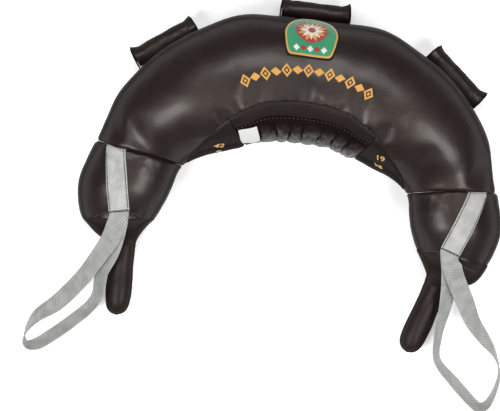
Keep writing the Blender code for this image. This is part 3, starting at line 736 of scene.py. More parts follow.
GATHER_COUNT = 8
GATHER_DEPTH = 0.0072
GATHER_SINK = 0.0024
GATHER_STEPS = 224
GATHER_COLUMNS = 40
GATHER_WANDER = ((0.36, 5.0, 1.6, 0.7), (0.16, 17.0, 3.4, 2.9))
GATHER_CREASES = ((0.26, 30.0, 5.0, 5.0), (0.17, 62.0, 11.0, 8.0))
TAB_SHARE = 0.08


def fold_noise(waves, place, reach_share):
    """Sum of uneven waves: height, how often along and across, and which pattern."""
    return sum(
        height * noise.noise(Vector((place * along, reach_share * across, pattern)))
        for height, along, across, pattern in waves
    )


def gather_height(place, reach_share):
    """Height of the folds at a place along the gathers, on the way from front to back."""
    phase = GATHER_COUNT * place + fold_noise(GATHER_WANDER, place, reach_share)
    phase += 0.12 * reach_share
    fold = abs(math.sin(math.pi * phase)) ** 0.48
    inner_line = math.exp(-(reach_share / 0.30) ** 2)
    fold += (1.0 - fold) * 0.45 * inner_line
    size = 0.84 + fold_noise([(0.36, 1.7, 0.8, 3.1)], math.floor(phase), reach_share)
    crease = fold_noise(GATHER_CREASES, place, reach_share) * (1.0 - 0.55 * inner_line)
    fade = 1.0 - abs(reach_share) ** 2.6
    below_tab = math.exp(-((place - TAB_SHARE) / TAB_SHARE) ** 2)
    return GATHER_DEPTH * (fold * size + crease) * fade * (1.0 - 0.7 * below_tab)


def gathered_middle():
    end = GATHER_ANGLE - angle_of(SEAM_GAP) / 2.0
    rows = []
    for place in spread(0.0, 1.0, GATHER_STEPS):
        angle = end * (2.0 * place - 1.0)
        edge = band_reach(angle) - girth_of(SEAM_GAP, angle) / 2.0
        row = []
        side_dip = seam_dip(min(place, 1.0 - place) * 2.0 * end * DEGREE * GUSSET_RADIUS)
        for share in spread(-1.0, 1.0, GATHER_COLUMNS):
            sink = GATHER_SINK * (1.0 - abs(share) ** 6) + side_dip
            lift = gather_height(place, share) - sink
            row.append(body_point(angle, 180.0 + edge * share, lift))
        rows.append(row)
    return rows


FOLD_SHADE = (0.20, 0.75)
FOLD_SHINE = {"Specular IOR Level": 0.26, "Coat Weight": 0.06}

# Painted shade: darker colour than the body leather, and no shine in the hollows between the
# folds.
gather_shaded_finish = leather_finish("gathered leather", (0.0105, 0.0068, 0.0060), 0.36, 0.45)
fold_heights = gather_shaded_finish.add("Attribute", attribute_name="fold").outputs["Fac"]
for socket, full in FOLD_SHINE.items():
    gather_shaded_finish.grade(fold_heights, socket, *FOLD_SHADE, 0.0, full)

gathers = leather_cloth("gathered_leather", gathered_middle())
folds = gathers.data.attributes.new("fold", "FLOAT", "POINT")
for index, item in enumerate(folds.data):
    row, column = divmod(index, GATHER_COLUMNS + 1)
    share = column / GATHER_COLUMNS * 2.0 - 1.0
    item.value = gather_height(row / GATHER_STEPS, share) / GATHER_DEPTH
finish_mesh(gathers)
turn_in(gathers)
dress(gathers, gather_shaded_finish.material, "inner_leather", "gusset_centre", fill=0.7)

# Each end is drawn in below a cross stitch into a neck and a finger-like grip, one piece of
# leather stuffed with wool. The grip bends in the hand at the neck.

GRIP_RADIUS = 0.0194
GRIP_LENGTH = 0.1110
GRIP_SINK = 0.0010
GRIP_BEND = 0.0120
GRIP_WAVE = 0.021
GRIP_WAVE_HEIGHT = 0.0008
NECK_PITCH = 0.004
NECK_REACH = {"left": 0.0400, "right": 0.0500}
NECK_SHIFT = {"left": 0.0110, "right": 0.0175}
GRIP_LEAN = {"left": 0.8, "right": 17.5}
NECK_SHARES = {
    "left": (
        (0.00, 0.00, 0.00),
        (0.15, -0.08, 0.20),
        (0.40, -0.08, 0.43),
        (0.62, 0.02, 0.61),
        (0.78, 0.24, 0.76),
        (0.90, 0.62, 0.90),
        (1.00, 1.00, 1.00),
    ),
    "right": (
        (0.00, 0.00, 0.00),
        (0.15, -0.02, 0.13),
        (0.40, -0.02, 0.31),
        (0.62, 0.10, 0.52),
        (0.78, 0.52, 0.83),
        (0.90, 0.94, 0.98),
        (1.00, 1.00, 1.00),
    ),
}
NECK_SLOPE = (
    (0.00, 0.000),
    (0.08, 0.026),
    (0.20, 0.100),
    (0.40, 0.300),
    (0.62, 0.560),
    (0.78, 0.760),
    (0.90, 0.875),
    (1.00, 0.930),
)
GRIP_RISE = 0.0050
GRIP_RISE_SHARE = 0.42
GRIP_SHARES = (
    (0.00, 1.00),
    (0.30, 0.98),
    (0.62, 1.05),
    (0.82, 0.98),
    (0.92, 0.78),
    (0.975, 0.46),
    (1.00, 0.04),
)
GRIP_RING_SHARES = (
    *spread(0.04, 0.80, 19), 0.85, 0.89, 0.92, 0.945, 0.965, 0.98, 0.99, 0.997, 1.0,
)


def outward(angle):
    return Vector((math.sin(angle * DEGREE), math.cos(angle * DEGREE), 0.0))


def crease_centre(side):
    angle = SIDES[side] * CREASE_ANGLE
    radius, width, depth = body_size(angle)
    centre = outward(angle) * (radius - draw_in(angle)) + ARC_CENTRE
    centre.z = depth - FLOOR_SINK
    return centre


def grip_frame(side):
    sign = SIDES[side]
    lean = GRIP_LEAN[side] * DEGREE
    run = Vector((-sign * math.sin(lean), -math.cos(lean), 0.0))
    across = Vector((sign * math.cos(lean), -math.sin(lean), 0.0))
    pivot = crease_centre(side)
    pivot.x -= sign * NECK_SHIFT[side]
    pivot.y -= NECK_REACH[side]
    pivot.z = GRIP_RADIUS - GRIP_SINK
    return pivot, run, across


def neck_ring(side, place, distance):
    sign = SIDES[side]
    pivot, run, across = grip_frame(side)
    radius, width, depth = body_size(CREASE_ANGLE)
    shift, narrowing = table_row(NECK_SHARES[side], place)
    half_width = width + (GRIP_RADIUS - width) * narrowing
    half_depth = depth + (GRIP_RADIUS - depth) * table_row(NECK_SLOPE, place)[0]
    sink = FLOOR_SINK + (GRIP_SINK - FLOOR_SINK) * narrowing
    centre = crease_centre(side).lerp(pivot, place)
    centre.x -= sign * NECK_SHIFT[side] * (shift - place)
    centre.z = half_depth - sink
    side_axis = outward(sign * CREASE_ANGLE).lerp(across, place).normalized()
    row = []
    for step in range(END_COLUMNS):
        girth = 360.0 * step / END_COLUMNS
        lift = crease_puckers(side, girth, distance) - crease_dip(side, girth, distance)
        lift -= corner_dip(girth, distance)
        turn = girth * DEGREE
        point = centre + side_axis * (half_width + lift) * math.cos(turn)
        point.z = max(centre.z + (half_depth + lift) * math.sin(turn), FLOOR_CLEARANCE)
        row.append(point + run * SEAM_GAP / 5.0 * (1.0 - place))
    return row


def grip_ring(side, place):
    pivot, run, across = grip_frame(side)
    radius = GRIP_RADIUS * table_row(GRIP_SHARES, place)[0]
    rise = GRIP_RISE * max(1.0 - place / GRIP_RISE_SHARE, 0.0) ** 2
    middle = pivot + run * GRIP_LENGTH * place + Vector((0.0, 0.0, rise / 2.0))
    row = []
    for step in range(END_COLUMNS):
        girth = 360.0 * step / END_COLUMNS * DEGREE
        way = across * math.cos(girth) + Vector((0.0, 0.0, 1.0)) * math.sin(girth)
        point = middle + way * radius
        point.z += rise / 2.0 * math.sin(girth)
        point += way * unevenness(point, GRIP_WAVE, GRIP_WAVE_HEIGHT)
        point.z = max(point.z, FLOOR_CLEARANCE)
        row.append(point)
    return row


grip_finish = leather_finish("grip leather", LEATHER_COLOUR, 0.47, 0.30, 0.24, coat=0.0)
grips = {}
for side, sign in SIDES.items():
    pivot, run, across = grip_frame(side)
    length = (pivot - crease_centre(side)).length
    places = seam_places(length, NECK_PITCH, ends=(True, False))
    rows = [neck_ring(side, place / length, place) for place in places]
    rows += [grip_ring(side, place) for place in GRIP_RING_SHARES]
    grip = leather_cloth(side + "_grip_leather", rows, closed=True, flip=sign < 0)
    finish_mesh(grip)
    dress(grip, grip_finish.material, "leather", side + "_neck", side + "_grip_cover",
          body=side + "_grip", bend=(pivot - run * GRIP_BEND, pivot + run * GRIP_BEND), fill=0.9)
    grips[side] = grip

# Inside, sewn canvas sacks of sand lie in a thick wool sleeve, and packed wool fills the
# necks, the grips and the rolled handles. It stays hidden unless a seam opens.


def fibre_finish(name, colour, pitch, depth):
    finish = Finish(name, roughness=0.92, sheen=0.3)
    fibres = finish.add("TexNoise", finish.place(), Scale=1.0 / pitch, Detail=6.0, Distortion=1.5)
    finish.tones(fibres.outputs["Fac"], colour, 0.7, 1.0)
    finish.relief((fibres.outputs["Fac"], 0.6, depth))
    return finish.material


wool = fibre_finish("packed wool", (0.62, 0.56, 0.46), 0.004, 0.0015)
canvas = fibre_finish("sack canvas", (0.50, 0.43, 0.30), 0.0015, 0.0005)
fillings = {"sack": canvas, "sleeve": wool, "wadding": wool, "core": wool}
for name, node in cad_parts.items():
    filling = fillings.get(name.split("_")[-1])
    if filling:
        node.data.materials.clear()
        node.data.materials.append(filling)

# Each loop hangs from a strip sewn down on the end panel: grey webbing underneath and a
# lighter woven tape over it, stitched with dark thread along both edges.

WEBBING_WIDTH = 0.0300
STRIP_RISE = 0.0046
STRIP_EDGE_RISE = 0.0022
STRIP_RUN = 0.1120
STITCH_INSET = 0.0024
STRAP_TOP_ANGLE = 74.6
STRAP_TOP_GIRTH = {"left": 64.5, "right": 60.0}
STRAP_END_ANGLE = {"left": 93.4, "right": 94.2}
STRAP_END_GIRTH = {"left": 92.8, "right": 98.0}
STRAP_BOW = {"left": 3.8, "right": 3.6}
STRIP_END = 0.985
STRIP_STEPS = 46
STRIP_TUCK_SHARE = 0.035
CHANNEL_DEPTH = 0.0007
CHANNEL_HALF_WIDTH = 0.0009
EDGE_COLUMNS = (0.0, 0.0, 0.02, 0.045, 0.07, 0.09, 0.12, 0.15, 0.2, 0.35)
RIB_PITCH = 0.0034
RIB_SLANT = 0.55
CROSS_THREAD_PITCH = 0.0012


def strip_place(side, along, across):
    """Angle and girth of a place on the strip: a share along it, metres from its middle."""
    bow = 4.0 * STRAP_BOW[side]
    angle_run = STRAP_END_ANGLE[side] - STRAP_TOP_ANGLE
    girth_run = STRAP_END_GIRTH[side] - STRAP_TOP_GIRTH[side]
    angle = STRAP_TOP_ANGLE + angle_run * along
    girth = STRAP_TOP_GIRTH[side] + (girth_run + bow * (1.0 - along)) * along
    girth_run += bow * (1.0 - 2.0 * along)
    radius, width, depth = body_size(angle)
    angle_length = arc_reach(angle, girth)
    girth_length = (width + depth) / 2.0
    run = Vector((angle_run * angle_length, girth_run * girth_length)).normalized()
    return (
        SIDES[side] * (angle - run.y * across / angle_length / DEGREE),
        girth + run.x * across / girth_length / DEGREE,
    )


def strip_point(side, along, across, lift):
    angle, girth = strip_place(side, along, across)
    return body_point(angle, girth, lift)


def strip_start(side, across):
    """Share along the strip at which it runs in under the cross seam."""
    along = 0.0
    for step in range(3):
        angle, girth = strip_place(side, along, across)
        seam = SEAM_ANGLE + seam_slant(side, girth) + angle_of(SEAM_GAP)
        along += (seam - abs(angle)) / (STRAP_END_ANGLE[side] - STRAP_TOP_ANGLE)
    return along


def strip_lift(across, walked=1.0):
    """Height of the strip over the leather, pressed down by its stitches and at the seam."""
    edge = WEBBING_WIDTH / 2.0 - abs(across)
    rise = eased((edge - STITCH_INSET * 0.3) / (STITCH_INSET * 1.6))
    lift = STRIP_EDGE_RISE + (STRIP_RISE - STRIP_EDGE_RISE) * rise
    channel = CHANNEL_DEPTH * math.exp(-((edge - STITCH_INSET) / CHANNEL_HALF_WIDTH) ** 2)
    tuck = min(walked / STRIP_TUCK_SHARE, 1.0)
    return (lift - channel) * (0.05 + 0.95 * tuck) - seam_dip(walked * STRIP_RUN)


def webbing_finish(name, colour):
    """Woven webbing: ribs that run slantwise over it, crossed by fine threads."""
    finish = Finish(name, roughness=0.70, sheen=0.25)
    cut = finish.add("SeparateXYZ", finish.cut_place()).outputs
    ribs = finish.wave(finish.math("MULTIPLY_ADD", cut["X"], RIB_SLANT, cut["Y"]), RIB_PITCH)
    weave = finish.math("MULTIPLY_ADD", finish.wave(cut["X"], CROSS_THREAD_PITCH), 0.35, ribs)
    dirt = finish.add("TexNoise", finish.place(), Scale=60.0, Detail=4.0)
    tone = finish.math("MULTIPLY_ADD", weave, 0.22, dirt.outputs["Fac"])
    finish.tones(tone, colour, 0.60, 1.06, 0.28, 0.74)
    finish.relief((weave, 0.55, 0.0004))
    return finish.material


strip_weave = webbing_finish("woven strip", (0.515, 0.512, 0.490))
shares = [*EDGE_COLUMNS, 0.5, *[1.0 - share for share in reversed(EDGE_COLUMNS)]]
acrosses = [WEBBING_WIDTH * (share - 0.5) for share in shares]
for side, sign in SIDES.items():
    rows = []
    starts = [strip_start(side, across) for across in acrosses]
    for walked in spread(0.0, 1.0, STRIP_STEPS):
        row = [
            strip_point(side, start + (STRIP_END - start) * walked, across,
                        strip_lift(across, walked))
            for across, start in zip(acrosses, starts)
        ]
        for edge in (0, -1):
            along = starts[edge] + (STRIP_END - starts[edge]) * walked
            row[edge] = strip_point(side, along, acrosses[edge], -0.0004)
        rows.append(row)
    strip = leather_cloth(side + "_strip", rows, flip=sign < 0)
    finish_mesh(strip)
    turn_in(strip, depth=0.0012)
    dress(strip, strip_weave, "strip", side + "_strap_cover", side + "_strap_root")

# The loops are 30 mm grey webbing, both ends caught in one cross stitch. Each falls off the
# end of the bag to the floor, turns up on its edge round the bend and comes back.

LOOP_LENGTH = 0.2400
LOOP_LEAD = 0.0035
LOOP_SKEW_REACH = 0.0300
LOOP_FLOOR_GAP = 0.0003
WEBBING = 0.0020
WEBBING_GAP = 0.0006
LAYER_GAP = 0.0005
STITCH_HEIGHT = LAYER_GAP + WEBBING + WEBBING_GAP / 2.0
WEBBING_FACE = (
    (-0.500, 0.00), (-0.488, 0.38), (-0.455, 0.50), (-0.30, 0.50), (-0.10, 0.50), (0.10, 0.50),
    (0.30, 0.50), (0.455, 0.50), (0.488, 0.38),
)
LOOP_STEPS = 260
LOOP_SHARES = {
    "left": (
        (0.000, 0.000, 1.000, 0.0),
        (-0.010, -0.079, 0.905, 3.0),
        (-0.040, -0.176, 0.728, 11.0),
        (-0.096, -0.277, 0.499, 24.0),
        (-0.206, -0.457, 0.151, 30.0),
        (-0.351, -0.636, 0.010, 32.0),
        (-0.466, -0.735, 0.000, 52.0),
        (-0.524, -0.825, 0.000, 76.0),
        (-0.537, -0.881, 0.000, 88.0),
        (-0.526, -0.923, 0.000, 101.0),
        (-0.492, -0.934, 0.000, 116.0),
        (-0.432, -0.908, 0.000, 128.0),
        (-0.243, -0.746, 0.005, 130.0),
        (-0.110, -0.592, 0.011, 128.0),
        (-0.084, -0.417, 0.250, 131.0),
        (-0.031, -0.253, 0.540, 156.0),
        (-0.004, -0.100, 0.880, 175.0),
        (0.000, 0.000, 1.000, 180.0),
    ),
    "right": (
        (0.000, 0.000, 1.000, 0.0),
        (0.021, -0.074, 0.945, 3.0),
        (0.061, -0.158, 0.780, 9.0),
        (0.158, -0.312, 0.412, 16.0),
        (0.236, -0.438, 0.158, 36.0),
        (0.330, -0.544, 0.020, 52.0),
        (0.406, -0.638, 0.000, 78.0),
        (0.441, -0.740, 0.000, 88.0),
        (0.424, -0.865, 0.000, 97.0),
        (0.381, -0.961, 0.000, 108.0),
        (0.336, -0.982, 0.000, 117.0),
        (0.294, -0.956, 0.000, 121.0),
        (0.158, -0.836, 0.000, 122.0),
        (0.031, -0.706, 0.000, 113.0),
        (0.018, -0.556, 0.060, 118.0),
        (0.032, -0.357, 0.365, 133.0),
        (0.033, -0.212, 0.640, 150.0),
        (0.020, -0.093, 0.920, 173.0),
        (0.000, 0.000, 1.000, 180.0),
    ),
}


def stitch_point(side, along=1.0, across=0.0):
    """A place between the two layers of webbing that the cross stitch holds."""
    return strip_point(side, along, across, STITCH_HEIGHT)


def stitch_lead(side):
    return stitch_point(side) - stitch_point(side, 1.0 - LOOP_LEAD / STRIP_RUN)


def loop_table(side):
    """The loop's shares, with a short straight lead where it leaves the cross stitch."""
    run = stitch_lead(side).normalized()
    lead = run * LOOP_LEAD / LOOP_LENGTH
    height = 1.0 + run.z * LOOP_LEAD / stitch_point(side).z
    start, *rows, end = LOOP_SHARES[side]
    return (start, (lead.x, lead.y, height, 1.0), *rows, (lead.x, lead.y, height, 179.0), end)


def loop_route(side):
    """Places of the webbing's middle round the loop, and how far it has turned over."""
    table = loop_table(side)
    lengths = [0.0]
    for start, end in zip(table, table[1:]):
        step = Vector(end[:2]) - Vector(start[:2])
        lengths.append(lengths[-1] + max(step.length, abs(end[3] - start[3]) / 360.0))
    rows = [(length, *row) for length, row in zip(lengths, table)]
    origin = stitch_point(side)
    route = []
    for length in spread(0.0, lengths[-1], LOOP_STEPS):
        x, y, height, turn = table_row(rows, length)
        turn *= DEGREE
        rest = WEBBING_WIDTH / 2.0 * math.sin(turn) + WEBBING / 2.0 * abs(math.cos(turn))
        layer = height * math.cos(turn) * (WEBBING + WEBBING_GAP) / 2.0
        lifted = max(height, 0.0) * (origin.z - rest) + rest + LOOP_FLOOR_GAP
        aside = Vector((x * LOOP_LENGTH, y * LOOP_LENGTH, lifted + layer - origin.z))
        route.append((origin + aside, turn))
    return route


def stitch_frame(side):
    """Direction out of the leather below the cross stitch, and along the stitch."""
    half = WEBBING_WIDTH / 2.0
    run = stitch_point(side) - stitch_point(side, 0.95)
    width = stitch_point(side, 1.0, half) - stitch_point(side, 1.0, -half)
    normal = run.cross(width).normalized()
    return (normal if normal.z > 0.0 else -normal), width.normalized()


def loop_frames(side):
    """Middle, face direction and width direction at each step round the loop."""
    route = loop_route(side)
    origin = stitch_point(side)
    normal, stitched = stitch_frame(side)
    frames = []
    for index, (place, turn) in enumerate(route):
        near = eased(1.0 - (place - origin).length / LOOP_SKEW_REACH)
        up = Vector((0.0, 0.0, 1.0)).lerp(normal, near)
        run = route[min(index + 2, LOOP_STEPS)][0] - route[max(index - 2, 0)][0]
        run.normalize()
        outer = run.cross(up).normalized() * -SIDES[side]
        lifted = (up - run * up.dot(run)).normalized()
        face = lifted * math.cos(turn) + outer * math.sin(turn)
        width = run.cross(face).normalized()
        along_stitch = stitched if stitched.dot(width) > 0.0 else -stitched
        frames.append((place, face, width.lerp(along_stitch, near).normalized()))
    return frames


webbing_section = [*WEBBING_FACE, *[(-across, -lift) for across, lift in WEBBING_FACE]]
webbing = webbing_finish("grey webbing", (0.41, 0.415, 0.395))
for side in SIDES:
    rows = [
        [place + width * WEBBING_WIDTH * across + face * WEBBING * lift
         for across, lift in webbing_section]
        for place, face, width in loop_frames(side)
    ]
    loop = leather_cloth(side + "_loop_webbing", rows, closed=True, flip=True)
    root = stitch_point(side)
    dress(loop, webbing, "webbing", side + "_strap",
          body=side + "_loop", bend=(root, root + stitch_lead(side)))

# Three handles stand off the outer side. Each is a padded roll of leather, pinched flat at
# both ends into a leather end piece whose foot is sewn down on the long panel.

HANDLE_LENGTH = 0.1080
HANDLE_ROLL_RADIUS = 0.0122
HANDLE_FINGER_GAP = 0.0142
FLAP = 0.0030
FLAP_GAP = 0.0010
FLAP_WIDTH = 0.0420
FLAP_TAPER_SHARE = 0.72
FLAP_CORNER = 0.0065
FLAP_FOOT = 0.0130
HANDLE_ANGLES = {"left": -41.7, "top": 0.0, "right": 42.0}
HANDLE_GIRTHS = {"left": -33.0, "top": -28.0, "right": -33.0}
HANDLE_TURNS = {"left": 5.5, "top": 0.0, "right": -1.5}
HANDLE_EAR_SHARES = {"left": (0.85, 0.45), "top": (0.80, 0.75), "right": (0.40, 0.80)}
HANDLE_COLUMNS = 36
HANDLE_PINCH = 0.0190
HANDLE_FULLNESS = 1.20
HANDLE_STEPS = 46
HANDLE_WAIST = 0.05
HANDLE_WAVES = ((0.015, 0.0008, 0.0), (0.0065, 0.0, 0.0007))
FLAP_ROWS = (0.05, 0.18, 0.4, 0.7, 1.0)
FLAP_BOW = 0.0012
FLAP_FOOT_RISE = 0.0016


def handle_frame(which):
    angle = HANDLE_ANGLES[which]
    out = outward(angle)
    surface = body_point(angle, HANDLE_GIRTHS[which])
    centre = surface + out * (HANDLE_FINGER_GAP + HANDLE_ROLL_RADIUS)
    angle += HANDLE_TURNS[which]
    run = Vector((math.cos(angle * DEGREE), -math.sin(angle * DEGREE), 0.0))
    return centre, outward(angle), run


def handle_rows(which):
    """Rings of the roll: round in the middle, pinched flat and tall towards both ends."""
    centre, out, run = handle_frame(which)
    up = Vector((0.0, 0.0, 1.0))
    half = HANDLE_LENGTH / 2.0 - FLAP * 0.55
    end_rise = FLAP_WIDTH * FLAP_TAPER_SHARE / 2.0 - HANDLE_ROLL_RADIUS
    rows = []
    for place in spread(-half, half, HANDLE_STEPS):
        ear = HANDLE_EAR_SHARES[which][0 if place < 0.0 else 1]
        pinch = max((abs(place) - half + HANDLE_PINCH) / HANDLE_PINCH, 0.0)
        waist = 1.0 - HANDLE_WAIST * math.sin(math.pi * min(pinch * 1.6, 1.0))
        row = []
        for step in range(HANDLE_COLUMNS):
            girth = 360.0 * step / HANDLE_COLUMNS * DEGREE
            corner = max(math.cos(girth), 0.0) ** 1.5 * FLAP_CORNER * ear
            tall = abs(math.sin(girth)) ** 2 * end_rise
            radius = HANDLE_ROLL_RADIUS * waist + pinch ** 2.6 * (corner + tall) * 0.92
            way = out * math.cos(girth) * HANDLE_FULLNESS + up * math.sin(girth)
            point = centre + run * place + way * radius
            row.append(point + way * sum(
                unevenness(point, size, height + pinched * pinch)
                for size, height, pinched in HANDLE_WAVES
            ))
        rows.append(row)
    return rows


def flap_rows(which, end):
    """Columns of an end piece: from the roll in to the body, then along its sewn foot."""
    centre, out, run = handle_frame(which)
    handle_angle, turn = HANDLE_ANGLES[which], HANDLE_TURNS[which]
    half = HANDLE_LENGTH / 2.0 - FLAP / 2.0
    lift = FLAP_GAP + FLAP / 2.0
    aside = (centre - ARC_CENTRE).xy.length * math.sin(turn * DEGREE)
    ear = FLAP_CORNER * HANDLE_EAR_SHARES[which][max(end, 0)]
    corner = centre + run * end * half + out * (HANDLE_ROLL_RADIUS + ear)
    columns = []
    for share in spread(-1.0, 1.0, 16):
        height = share * FLAP_WIDTH / 2.0
        rounding = FLAP_CORNER * 0.9 * abs(share) ** 4
        far = corner + Vector((0.0, 0.0, height * FLAP_TAPER_SHARE)) - out * rounding
        girth = HANDLE_GIRTHS[which] + girth_of(height, handle_angle)
        radius = arc_reach(handle_angle, girth)
        root_angle = handle_angle + turn + math.asin((end * half - aside) / radius) / DEGREE
        root = body_point(root_angle, girth, lift)
        column = [far.lerp(root, place) + run * end * FLAP_BOW * math.sin(math.pi * place)
                  for place in spread(0.0, 0.90, 9)]
        for place in FLAP_ROWS:
            foot_angle = root_angle + end * FLAP_FOOT * place / radius / DEGREE
            foot_lift = lift - (lift - FLAP_FOOT_RISE) * place * 0.6
            column.append(body_point(foot_angle, girth, foot_lift))
        columns.append(column)
    return [list(row) for row in zip(*columns)]


roll_finish = leather_finish("handle leather", (0.0165, 0.0106, 0.0092), 0.42, 0.35, 0.30)
# Painted shade: the end pieces are coloured darker than the rolls, so their edge-on faces read as
# shaded.
end_shaded_finish = leather_finish("handle end leather", (0.0120, 0.0082, 0.0075), 0.70, 0.45, 0.06)
for which in HANDLE_ANGLES:
    centre, out, run = handle_frame(which)
    handle = which + "_handle"
    roll = leather_cloth(handle + "_roll", handle_rows(which), closed=True)
    finish_mesh(roll)
    dress(roll, roll_finish.material, "leather", handle + "_cover", body=handle, fill=0.85)
    for end_name, end in (("_left_", -1), ("_right_", 1)):
        flap = leather_cloth(handle + end_name + "end", flap_rows(which, end), flip=end > 0)
        finish_mesh(flap, thickness=FLAP * 0.75)
        corner = centre + run * end * HANDLE_LENGTH / 2.0
        foot = corner - out * HANDLE_FINGER_GAP * 1.6
        dress(flap, end_shaded_finish.material, "leather", handle + end_name + "flap",
              body=handle, bend=(foot, corner - out * HANDLE_ROLL_RADIUS * 0.8))

# The patch is an embroidered badge on the crown, round above and straight below, with a
# merrowed gold edge. Its field carries a traditional eight-pointed star.

BADGE_WIDTH = 0.0855
BADGE_HEIGHT = 0.0965
BADGE_CUT_SHARE = 0.66
BADGE_FULLNESS = (1.50, 3.0)
BADGE_ANGLE = -0.7
BADGE_GIRTH = 46.0
BADGE_CORNER = 22.0
FIELD_RINGS = (0.3, 0.6, 0.85, 0.96, 1.0)
STAR_DOWN = -0.0090
BADGE_LOZENGES = 5
BADGE_LOZENGE_PITCH = 0.0112
BADGE_LOZENGE_DOWN = 0.0245
GROUND_REACH = 0.03


def sewing_ground(pieces):
    """Finished leather as one surface that thread can be laid on."""
    points, faces = [], []
    for piece in pieces:
        base = len(points)
        points += [piece.matrix_world @ vert.co for vert in piece.data.vertices]
        faces += [tuple(base + index for index in face.vertices) for face in piece.data.polygons]
    return BVHTree.FromPolygons(points, faces)


outer_ground = sewing_ground([centre_panel, *end_panels.values(), *grips.values()])


def on_leather(angle, girth, lift, ground=outer_ground):
    """A point at a height over the finished leather."""
    normal = body_normal(angle, girth)
    start = body_point(angle, girth) + normal * GROUND_REACH
    hit = ground.ray_cast(start, -normal, 2.0 * GROUND_REACH)[0]
    return (hit if hit is not None else body_point(angle, girth)) + normal * lift


def badge_place(across, down, lift):
    """A point of the patch from its place across and down its face."""
    angle = BADGE_ANGLE + across / arc_reach(0.0, BADGE_GIRTH) / DEGREE
    return on_leather(angle, BADGE_GIRTH + girth_of(down, 0.0), lift)


def badge_outline(turn, share=1.0):
    """Edge of the patch in a direction, cut straight along its lower side."""
    half_width = BADGE_WIDTH / 2.0 * share
    half_height = BADGE_HEIGHT / (1.0 + BADGE_CUT_SHARE) * share
    across, down = math.cos(turn), math.sin(turn)
    fullness = BADGE_FULLNESS[down > 0.0]
    reach = abs(across / half_width) ** fullness + abs(down / half_height) ** fullness
    reach = reach ** (-1.0 / fullness)
    cut = half_height * BADGE_CUT_SHARE - (1.0 - share) * 0.004
    if down > 0.0:
        edges = reach ** -BADGE_CORNER + (cut / down) ** -BADGE_CORNER
        reach = edges ** (-1.0 / BADGE_CORNER)
    return reach


def embroidery(name, outline, place, height, crown=0.0, turns=128):
    """A raised field of stitches: outline gives its reach in each direction."""
    bm = bmesh.new()
    uv = bm.loops.layers.uv.new("cut")
    grid = []
    for ring in FIELD_RINGS:
        lift = height + crown * (1.0 - ring ** 3)
        row = []
        for step in range(turns):
            turn = 2.0 * math.pi * step / turns
            reach = outline(turn) * ring
            row.append((reach * math.cos(turn), reach * math.sin(turn), lift))
        grid.append(row)
    grid.append([(across * 1.01, down * 1.01, 0.0001) for across, down, lift in grid[-1]])
    flat = {"middle": (0.0, 0.0, height + crown)}
    for index, row in enumerate(grid):
        flat.update({(index, step): spot for step, spot in enumerate(row)})
    corners = {key: bm.verts.new(place(*spot)) for key, spot in flat.items()}

    def face(*keys):
        made = bm.faces.new([corners[key] for key in keys])
        for loop, key in zip(made.loops, keys):
            loop[uv].uv = flat[key][:2]

    for step in range(turns):
        near = (step + 1) % turns
        face("middle", (0, near), (0, step))
        for index in range(len(grid) - 1):
            face((index, step), (index, near), (index + 1, near), (index + 1, step))
    bmesh.ops.recalc_face_normals(bm, faces=bm.faces)
    return as_object(name, bm)


def thread_finish(name, colour, pitch, direction, sheen=0.30, gloss=0.42):
    """Satin stitch: thread laid side by side in one direction."""
    finish = Finish(name, gloss, sheen)
    laid = finish.add("VectorMath", finish.cut_place(), operation="DOT_PRODUCT")
    laid.inputs[1].default_value = (math.cos(direction), math.sin(direction), 0.0)
    threads = finish.wave(laid.outputs["Value"], pitch)
    lifted = finish.add("MapRange", threads, **{"From Min": -1.0})
    finish.tones(lifted.outputs["Result"], colour, 0.62, 1.0, 0.0, 0.55)
    finish.relief((threads, 0.5, 0.00025))
    return finish.material


gold_thread = thread_finish("gold thread", (0.76, 0.38, 0.075), 0.0007, 0.5)
green_thread = thread_finish("green thread", (0.006, 0.30, 0.125), 0.0008, 0.9)
red_thread = thread_finish("red thread", (0.40, 0.010, 0.012), 0.0008, 2.2)
white_thread = thread_finish("white thread", (0.82, 0.80, 0.74), 0.0007, 1.3)
black_thread = thread_finish("black thread", (0.004, 0.004, 0.004), 0.0009, 0.0, 0.0, 0.9)


def moved_place(across, down):
    return lambda x, y, lift: badge_place(across + x, down + y, lift)


def star(points, outer, inner, turned=0.0):
    """Edge of a star with straight sides."""
    def reach(turn):
        half = math.pi / points
        part = (turn - turned) % (2.0 * half)
        part = min(part, 2.0 * half - part)
        tip = Vector((outer, 0.0))
        hollow = Vector((inner * math.cos(half), inner * math.sin(half)))
        side = hollow - tip
        ray = Vector((math.cos(part), math.sin(part)))
        return (tip.x * side.y - tip.y * side.x) / (ray.x * side.y - ray.y * side.x)
    return reach


backing = embroidery("badge_backing", badge_outline, badge_place, 0.0012)
dress(backing, black_thread, "patch", "badge")
star_place = moved_place(0.0, STAR_DOWN)
lower_star = star(8, 0.0220, 0.0118, math.pi / 8.0)
badge_layers = [
    ("gold_edge", gold_thread, lambda turn: badge_outline(turn, 0.930), badge_place, 0.0019),
    ("green_field", green_thread, lambda turn: badge_outline(turn, 0.870), badge_place,
     0.0021, 0.0002),
    ("red_disc", red_thread, lambda turn: 0.0235, star_place, 0.0026, 0.0002, 96),
    ("gold_star", gold_thread, lower_star, star_place, 0.0030, 0.0002),
    ("white_star", white_thread, star(8, 0.0185, 0.0088), star_place, 0.0034, 0.0003),
    ("star_heart", red_thread, lambda turn: 0.0055, star_place, 0.0039, 0.0004, 48),
]
for step in range(BADGE_LOZENGES):
    thread = (white_thread, red_thread)[step % 2]
    spot = moved_place((step - BADGE_LOZENGES // 2) * BADGE_LOZENGE_PITCH, BADGE_LOZENGE_DOWN)
    lozenge = star(4, 0.0052, 0.0036)
    badge_layers.append(("lozenge_%d" % (step + 1), thread, lozenge, spot, 0.0027, 0.0003, 48))
for name, thread, *shape in badge_layers:
    dress(embroidery("badge_" + name, *shape), thread, "patch")

# Below the patch a chain of lozenges is embroidered in gold along the curve, and the bag's
# weight stands near each end of the gathers in pounds and in kilograms.

